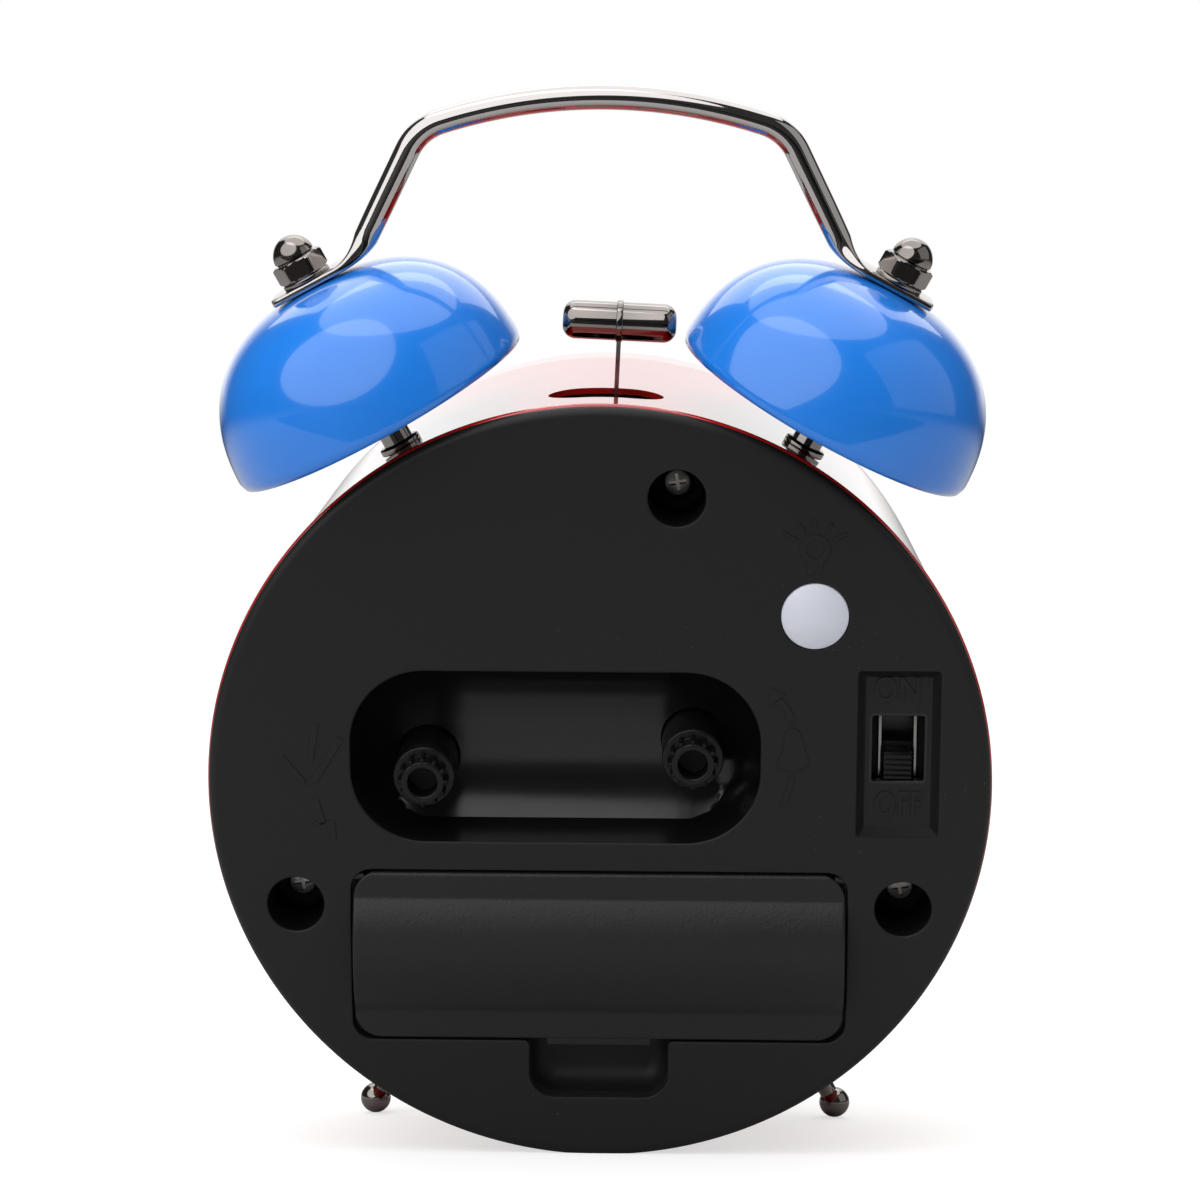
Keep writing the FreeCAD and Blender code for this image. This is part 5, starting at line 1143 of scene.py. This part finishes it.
def coverMarks():
    t, m = timeArrow, lightMark
    arrow = arc(*knobPlaces["time"], t.radius, t.start, t.end, 10)
    tip = [(arrow[-1][0] + x, arrow[-1][1] + z) for x, z in t.head]
    made = [mark(band(line, wide)) for line, wide in timeStrokes]
    made += [mark(band(arrow, t.wide)), mark(tip), mark(alarmBell), mark(alarmHead)]
    made += [mark(band(line, wide)) for line, wide in alarmStrokes]
    neck = [(m.x + x, m.z + z) for x, z in ((-0.85, -2.2), (-0.8, -2.9), (0.8, -2.9), (0.85, -2.2))]
    made.append(mark(arc(m.x, m.z, m.bulb, -55, 235, 24) + neck, [ring(m.x, m.z, m.hollow, 24)]))
    for angle, far in m.rays:
        made.append(mark(band([arc(m.x, m.z, reach, angle, angle, 1)[0] for reach in (m.near, far)], m.wide)))
    return made


def letterMesh(words, size, depth, spacing=1.0, bold=0.0):  # flat letters, seen from their own +z side
    curve = bpy.data.curves.new("letters", "FONT")
    curve.body, curve.size, curve.offset, curve.extrude = words, size, bold, depth / 2
    curve.align_x = curve.align_y = "CENTER"
    curve.space_character = spacing
    curve.resolution_u = 4
    mesh = evaluated(addObject("letters", curve))
    bpy.data.curves.remove(curve)
    return cleaned(mesh, 30, 0.0001)


def coverWords():  # the words face +y and read from the back: right is towards -x
    made = []
    for words, (x, z, narrow) in switchWords.items():
        face = Matrix(((-narrow, 0, 0, x), (0, 0, 1, 0.02 - panelSize.deep), (0, 1, 0, z), (0, 0, 0, 1)))
        made.append(moved(letterMesh(words, markSize.letters, 0.3, markSize.spacing, markSize.bold), face))
    return made


addPiece("cover_marks", joinedMesh(*coverMarks()), "black_moulding")
addPiece("switch_words", joinedMesh(*coverWords()), "black_moulding")
print("marks made")

# Feet

footSize = Sizes(y=-32.0, reach=58.5, drop=60.3, ball=1.9, neck=1.1, base=2.4, baseHigh=1.2, seat=0.35,
                 thread=1.5, tail=5.0)


def footMesh():
    f = footSize
    base = caseRadius(f.y)
    end, seat = base - f.tail, base - f.seat
    start = degrees(asin(f.neck / f.ball))
    knot = f.reach - f.ball * cos(radians(start))
    stem = softened([(0, end, 0), (f.thread, end, 0.3), (f.thread, seat, 0), (f.base, seat, 0.1),
                     (f.base, base + f.baseHigh, 0.25), (f.neck, knot - 0.5, 0.6),
                     (f.neck, knot - 0.02, 0)], 4)
    ball = arc(0, f.reach, f.ball, start - 90, 90, 24)
    return upright(turnedMesh(stem + ball[:-1] + [(0, ball[-1][1])], 64, sharp=30))


for side, word in ((1, "right"), (-1, "left")):
    foot = moved(footMesh(), aboutY(side * (90 + footSize.drop), 0, footSize.y, 0))
    addPiece("ball_foot_" + word, foot, "dark_nickel", "foot_" + word)
print("feet made")

# Front: bezel, lens, light ring

frontSize = Sizes(inner=38.4, bore=40.55, skirt=41.15, outer=41.8, lensFront=-48.6, lensBack=-46.8, lip=-50.6,
                  deep=-48.5, back=-39.5, ring=40.5)


def frontMeshes():
    f = frontSize
    bezel = softened([(f.inner, f.lensFront, 0.15), (f.bore, f.lensFront, 0.1), (f.bore, f.back, 0.1),
                      (f.skirt, f.back, 0.15), (f.skirt, f.deep, 0.05), (f.outer, f.deep, 0.1),
                      (f.outer, f.lip, 1.2), (f.inner + 0.9, f.lip, 0.55)], 7)
    lens = softened([(0, f.lensFront, 0), (f.ring, f.lensFront, 0.3), (f.ring, f.lensBack, 0.3),
                     (0, f.lensBack, 0)], 4)
    return (turnedMesh(bezel, 192, closed=True), turnedMesh(lens, 192),
            turnedMesh(rectangle(f.inner, f.ring, f.lensBack, f.back, 0.2, 4), 192, closed=True))


bezelShape, lensShape, glowShape = frontMeshes()
addPiece("bezel_ring", bezelShape, "red_enamel", "front_bezel")
addPiece("dial_lens", lensShape, "clear_glass", "lens")
addPiece("glow_ring", glowShape, "light_pipe", "light_ring")

# Dial with its scale and numbers

dialSize = Sizes(radius=38.3, hole=3.35, front=-40.0, back=-39.5, ticks=60, hours=12, tickIn=35.2,
                 hourIn=33.9, tickOut=37.0, tickWide=0.35, hourWide=1.1, numbers=28.0, size=8.8, bold=0.03,
                 ink=0.03)


def dialMesh():
    d = dialSize
    loop = softened([(d.hole, d.front, 0.08), (d.radius, d.front, 0.12), (d.radius, d.back, 0.12),
                     (d.hole, d.back, 0.08)], 3)
    return turnedMesh(loop, 192, closed=True)


def scaleMeshes():
    d = dialSize
    low, high = d.front - d.ink, d.front + 0.02
    made = []
    for inner, wide, count in ((d.tickIn, d.tickWide, d.ticks), (d.hourIn, d.hourWide, d.hours)):
        half = wide / 2
        one = plateMesh([(-half, inner), (half, inner), (half, d.tickOut), (-half, d.tickOut)],
                        low, high, 0.01)
        made.append(copied(one, aroundAxis, {"Count": count}, printBlack))
    for hour in range(1, d.hours + 1):
        z, x = arc(0, 0, d.numbers, 360 * hour / d.hours, 0, 1)[0]
        face = Matrix(((1, 0, 0, x), (0, 0, -1, (low + high) / 2), (0, 1, 0, z), (0, 0, 0, 1)))
        made.append(moved(letterMesh(str(hour), d.size, high - low, bold=d.bold), face))
    return made


addPiece("dial_sheet", dialMesh(), "dial_face", "dial")
addPiece("dial_scale", joinedMesh(*scaleMeshes()), "hand_black", finish=[printBlack])
print("dial made")

# Hands

handSizes = {
    "alarm": Sizes(y=-41.75, length=15.0, tail=3.2, wide=1.0, boss=3.2, bore=2.2, angle=195.0, tone="red"),
    "hour": Sizes(y=-42.9, length=20.0, tail=4.0, wide=2.4, boss=2.6, bore=1.5, angle=305.0, tone="black"),
    "minute": Sizes(y=-44.05, length=29.0, tail=5.0, wide=1.8, boss=2.2, bore=0.9, angle=60.0, tone="black"),
    "second": Sizes(y=-45.2, length=31.0, tail=9.0, wide=0.7, boss=1.6, bore=0.4, angle=210.0, tone="red")}
bladeSize = Sizes(thick=0.35, bossHigh=0.5, edge=0.1, point=2.4, flare=1.5)


def handMesh(h):
    b = bladeSize
    half, point, top = h.wide / 2, h.length - b.point * h.wide, h.y + b.thick
    neck = sqrt(h.boss ** 2 - half ** 2) * 0.98
    around = arc(0, 0, h.boss, 90, -270, 36)[:-1]
    parts = [plateMesh(around, h.y, top + b.bossHigh, b.edge, [ring(0, 0, h.bore, 36)]),
             plateMesh([(-half, neck), (-half, point), (0, h.length), (half, point), (half, neck)],
                       h.y + 0.02, top, b.edge)]
    if h.tail > h.boss + 0.3:
        wide = half * b.flare
        parts.append(plateMesh([(-half, -neck), (half, -neck), (wide, -h.tail), (-wide, -h.tail)],
                               h.y + 0.02, top, b.edge))
    return moved(joinedMesh(*parts), aboutY(h.angle))


for word, size in handSizes.items():
    addPiece(word + "_pointer", handMesh(size), "hand_" + size.tone, word + "_hand", body=word + "_train")
print("hands made")

# Finishes of the parts' own solids, which stay in sight inside the clock

for part in frame["record"]["subparts"]:
    piece = frame["nodes"][part["node"]]
    if not piece.material_slots:
        piece.data.materials.append(None)
    for place in piece.material_slots:
        place.material = finishes[part["material_slot"]]
print("inner parts finished")

# Camera at the photograph's angle

cameraSize = Sizes(eye=(-10.58, 435.06, 137.39), aim=(-0.1, 0.0, 22.9), right=(-0.9997, -0.0243, 0.001),
                   lens=118.56)


def addCamera():
    c = cameraSize
    eye, right = Vector(c.eye), Vector(c.right)
    back = (eye - Vector(c.aim)).normalized()
    right = (right - back * right.dot(back)).normalized()
    axes = leanTurn @ Matrix((right, back.cross(right), back)).transposed()
    data = bpy.data.cameras.new("photoCamera")
    data.lens, data.sensor_width = c.lens, 36
    data.clip_start, data.clip_end = 0.01, 20
    camera = addObject("photoCamera", data)
    camera.matrix_world = Matrix.Translation(toRowMm @ eye) @ axes.to_4x4()
    scene.camera = camera


addCamera()

# Floor, surroundings and lights

studioSize = Sizes(floor=3.0, colour=0.50, glowNear=0.62, glowFar=0.95, glowFrom=0.25, glowTo=1.2,
                   surround=0.20, backdrop=1.0, behind=1.12, room=0.05, cardNear=0.19, cardFar=1.6,
                   cardHalf=0.7, cardLevel=0.002)
# each lamp: turn from the camera's side towards the photo's left, height angle, distance, width, height,
# watts, shape
lampSizes = {"key": (34, 34, 0.75, 1.25, 1.06, 5.6, "ELLIPSE"),
             "fill": (-75, 25, 0.80, 0.90, 0.70, 0.9, "RECTANGLE"),
             "top": (0, 90, 0.95, 1.35, 1.35, 7.6, "ELLIPSE"),
             "back": (180, 50, 1.00, 1.30, 0.60, 4.0, "RECTANGLE")}
lampAim = Vector((0, 0, 0.07))


def paleFloor():  # matte, with a glow that whitens it for the camera
    s = studioSize
    material = bpy.data.materials.new("paleFloor")
    material.use_nodes = True
    tree = material.node_tree
    tree.nodes.clear()
    matte = addNode(tree, "ShaderNodeBsdfDiffuse", Color=(s.colour, s.colour, s.colour, 1))
    away = addNode(tree, "ShaderNodeVectorMath", objectSpace(tree))
    away.operation = "LENGTH"
    level = spread(tree, away.outputs["Value"], s.glowFrom, s.glowTo, s.glowNear, s.glowFar)
    seen = tree.nodes.new("ShaderNodeLightPath").outputs["Is Camera Ray"]
    glow = addNode(tree, "ShaderNodeEmission", Strength=sums(tree, "MULTIPLY", seen, level))
    both = addNode(tree, "ShaderNodeAddShader", matte.outputs[0], glow.outputs[0])
    addNode(tree, "ShaderNodeOutputMaterial", Surface=both.outputs[0])
    return material


def stageSheet(name, half, near, far, level, material):
    mesh = bpy.data.meshes.new(name)
    corners = [(-half, near, level), (half, near, level), (half, far, level), (-half, far, level)]
    mesh.from_pydata(corners, [], [(0, 1, 2, 3)])
    mesh.materials.append(material)
    sheet = addObject(name, mesh)
    return sheet


def addSheets():
    s = studioSize
    stageSheet("studioFloor", s.floor, -s.floor, s.floor, 0, paleFloor())
    card = stageSheet("darkCard", s.cardHalf, s.cardNear, s.cardFar, s.cardLevel, deepBlack)
    for ray in ("camera", "diffuse", "shadow", "transmission"):  # only mirrors meet it
        setattr(card, "visible_" + ray, False)


def lightWorld():  # white behind the clock, a dim room around it, an even soft level for matte faces
    s = studioSize
    scene.world = bpy.data.worlds.new("studio")
    scene.world.use_nodes = True
    tree = scene.world.node_tree
    split = addNode(tree, "ShaderNodeSeparateXYZ", tree.nodes.new("ShaderNodeTexCoord").outputs["Generated"])
    behind = spread(tree, split.outputs["Y"], -0.92, -0.75, s.behind - s.room, 0.0)
    above = spread(tree, split.outputs["Z"], -0.01, 0.10, 0.0, 1.0)
    room = sums(tree, "ADD", sums(tree, "MULTIPLY", behind, above), s.room)
    ray = tree.nodes.new("ShaderNodeLightPath").outputs
    mirrored = sums(tree, "MAXIMUM", ray["Is Glossy Ray"], ray["Is Transmission Ray"])
    seen = sums(tree, "MULTIPLY", ray["Is Camera Ray"], s.backdrop - s.surround)
    strength = sums(tree, "ADD", seen, s.surround)
    extra = sums(tree, "MULTIPLY", mirrored, sums(tree, "SUBTRACT", room, s.surround))
    fed(tree, tree.nodes["Background"], Color=(1, 1, 1, 1), Strength=sums(tree, "ADD", strength, extra))


def addLamps():
    for word, (turn, rise, distance, wide, high, power, shape) in lampSizes.items():
        data = bpy.data.lights.new(word + "Softbox", "AREA")
        data.shape, data.size, data.size_y, data.energy = shape, wide, high, power
        lamp = addObject(word + "Softbox", data)
        side, up = radians(turn), radians(rise)
        away = Vector((sin(side) * cos(up), cos(side) * cos(up), sin(up)))
        facing = away.to_track_quat("Z", "Y").to_matrix().to_4x4()
        lamp.matrix_world = Matrix.Translation(lampAim + away * distance) @ facing


addSheets()
lightWorld()
addLamps()
scene.view_settings.view_transform = "Standard"
print("stage set")
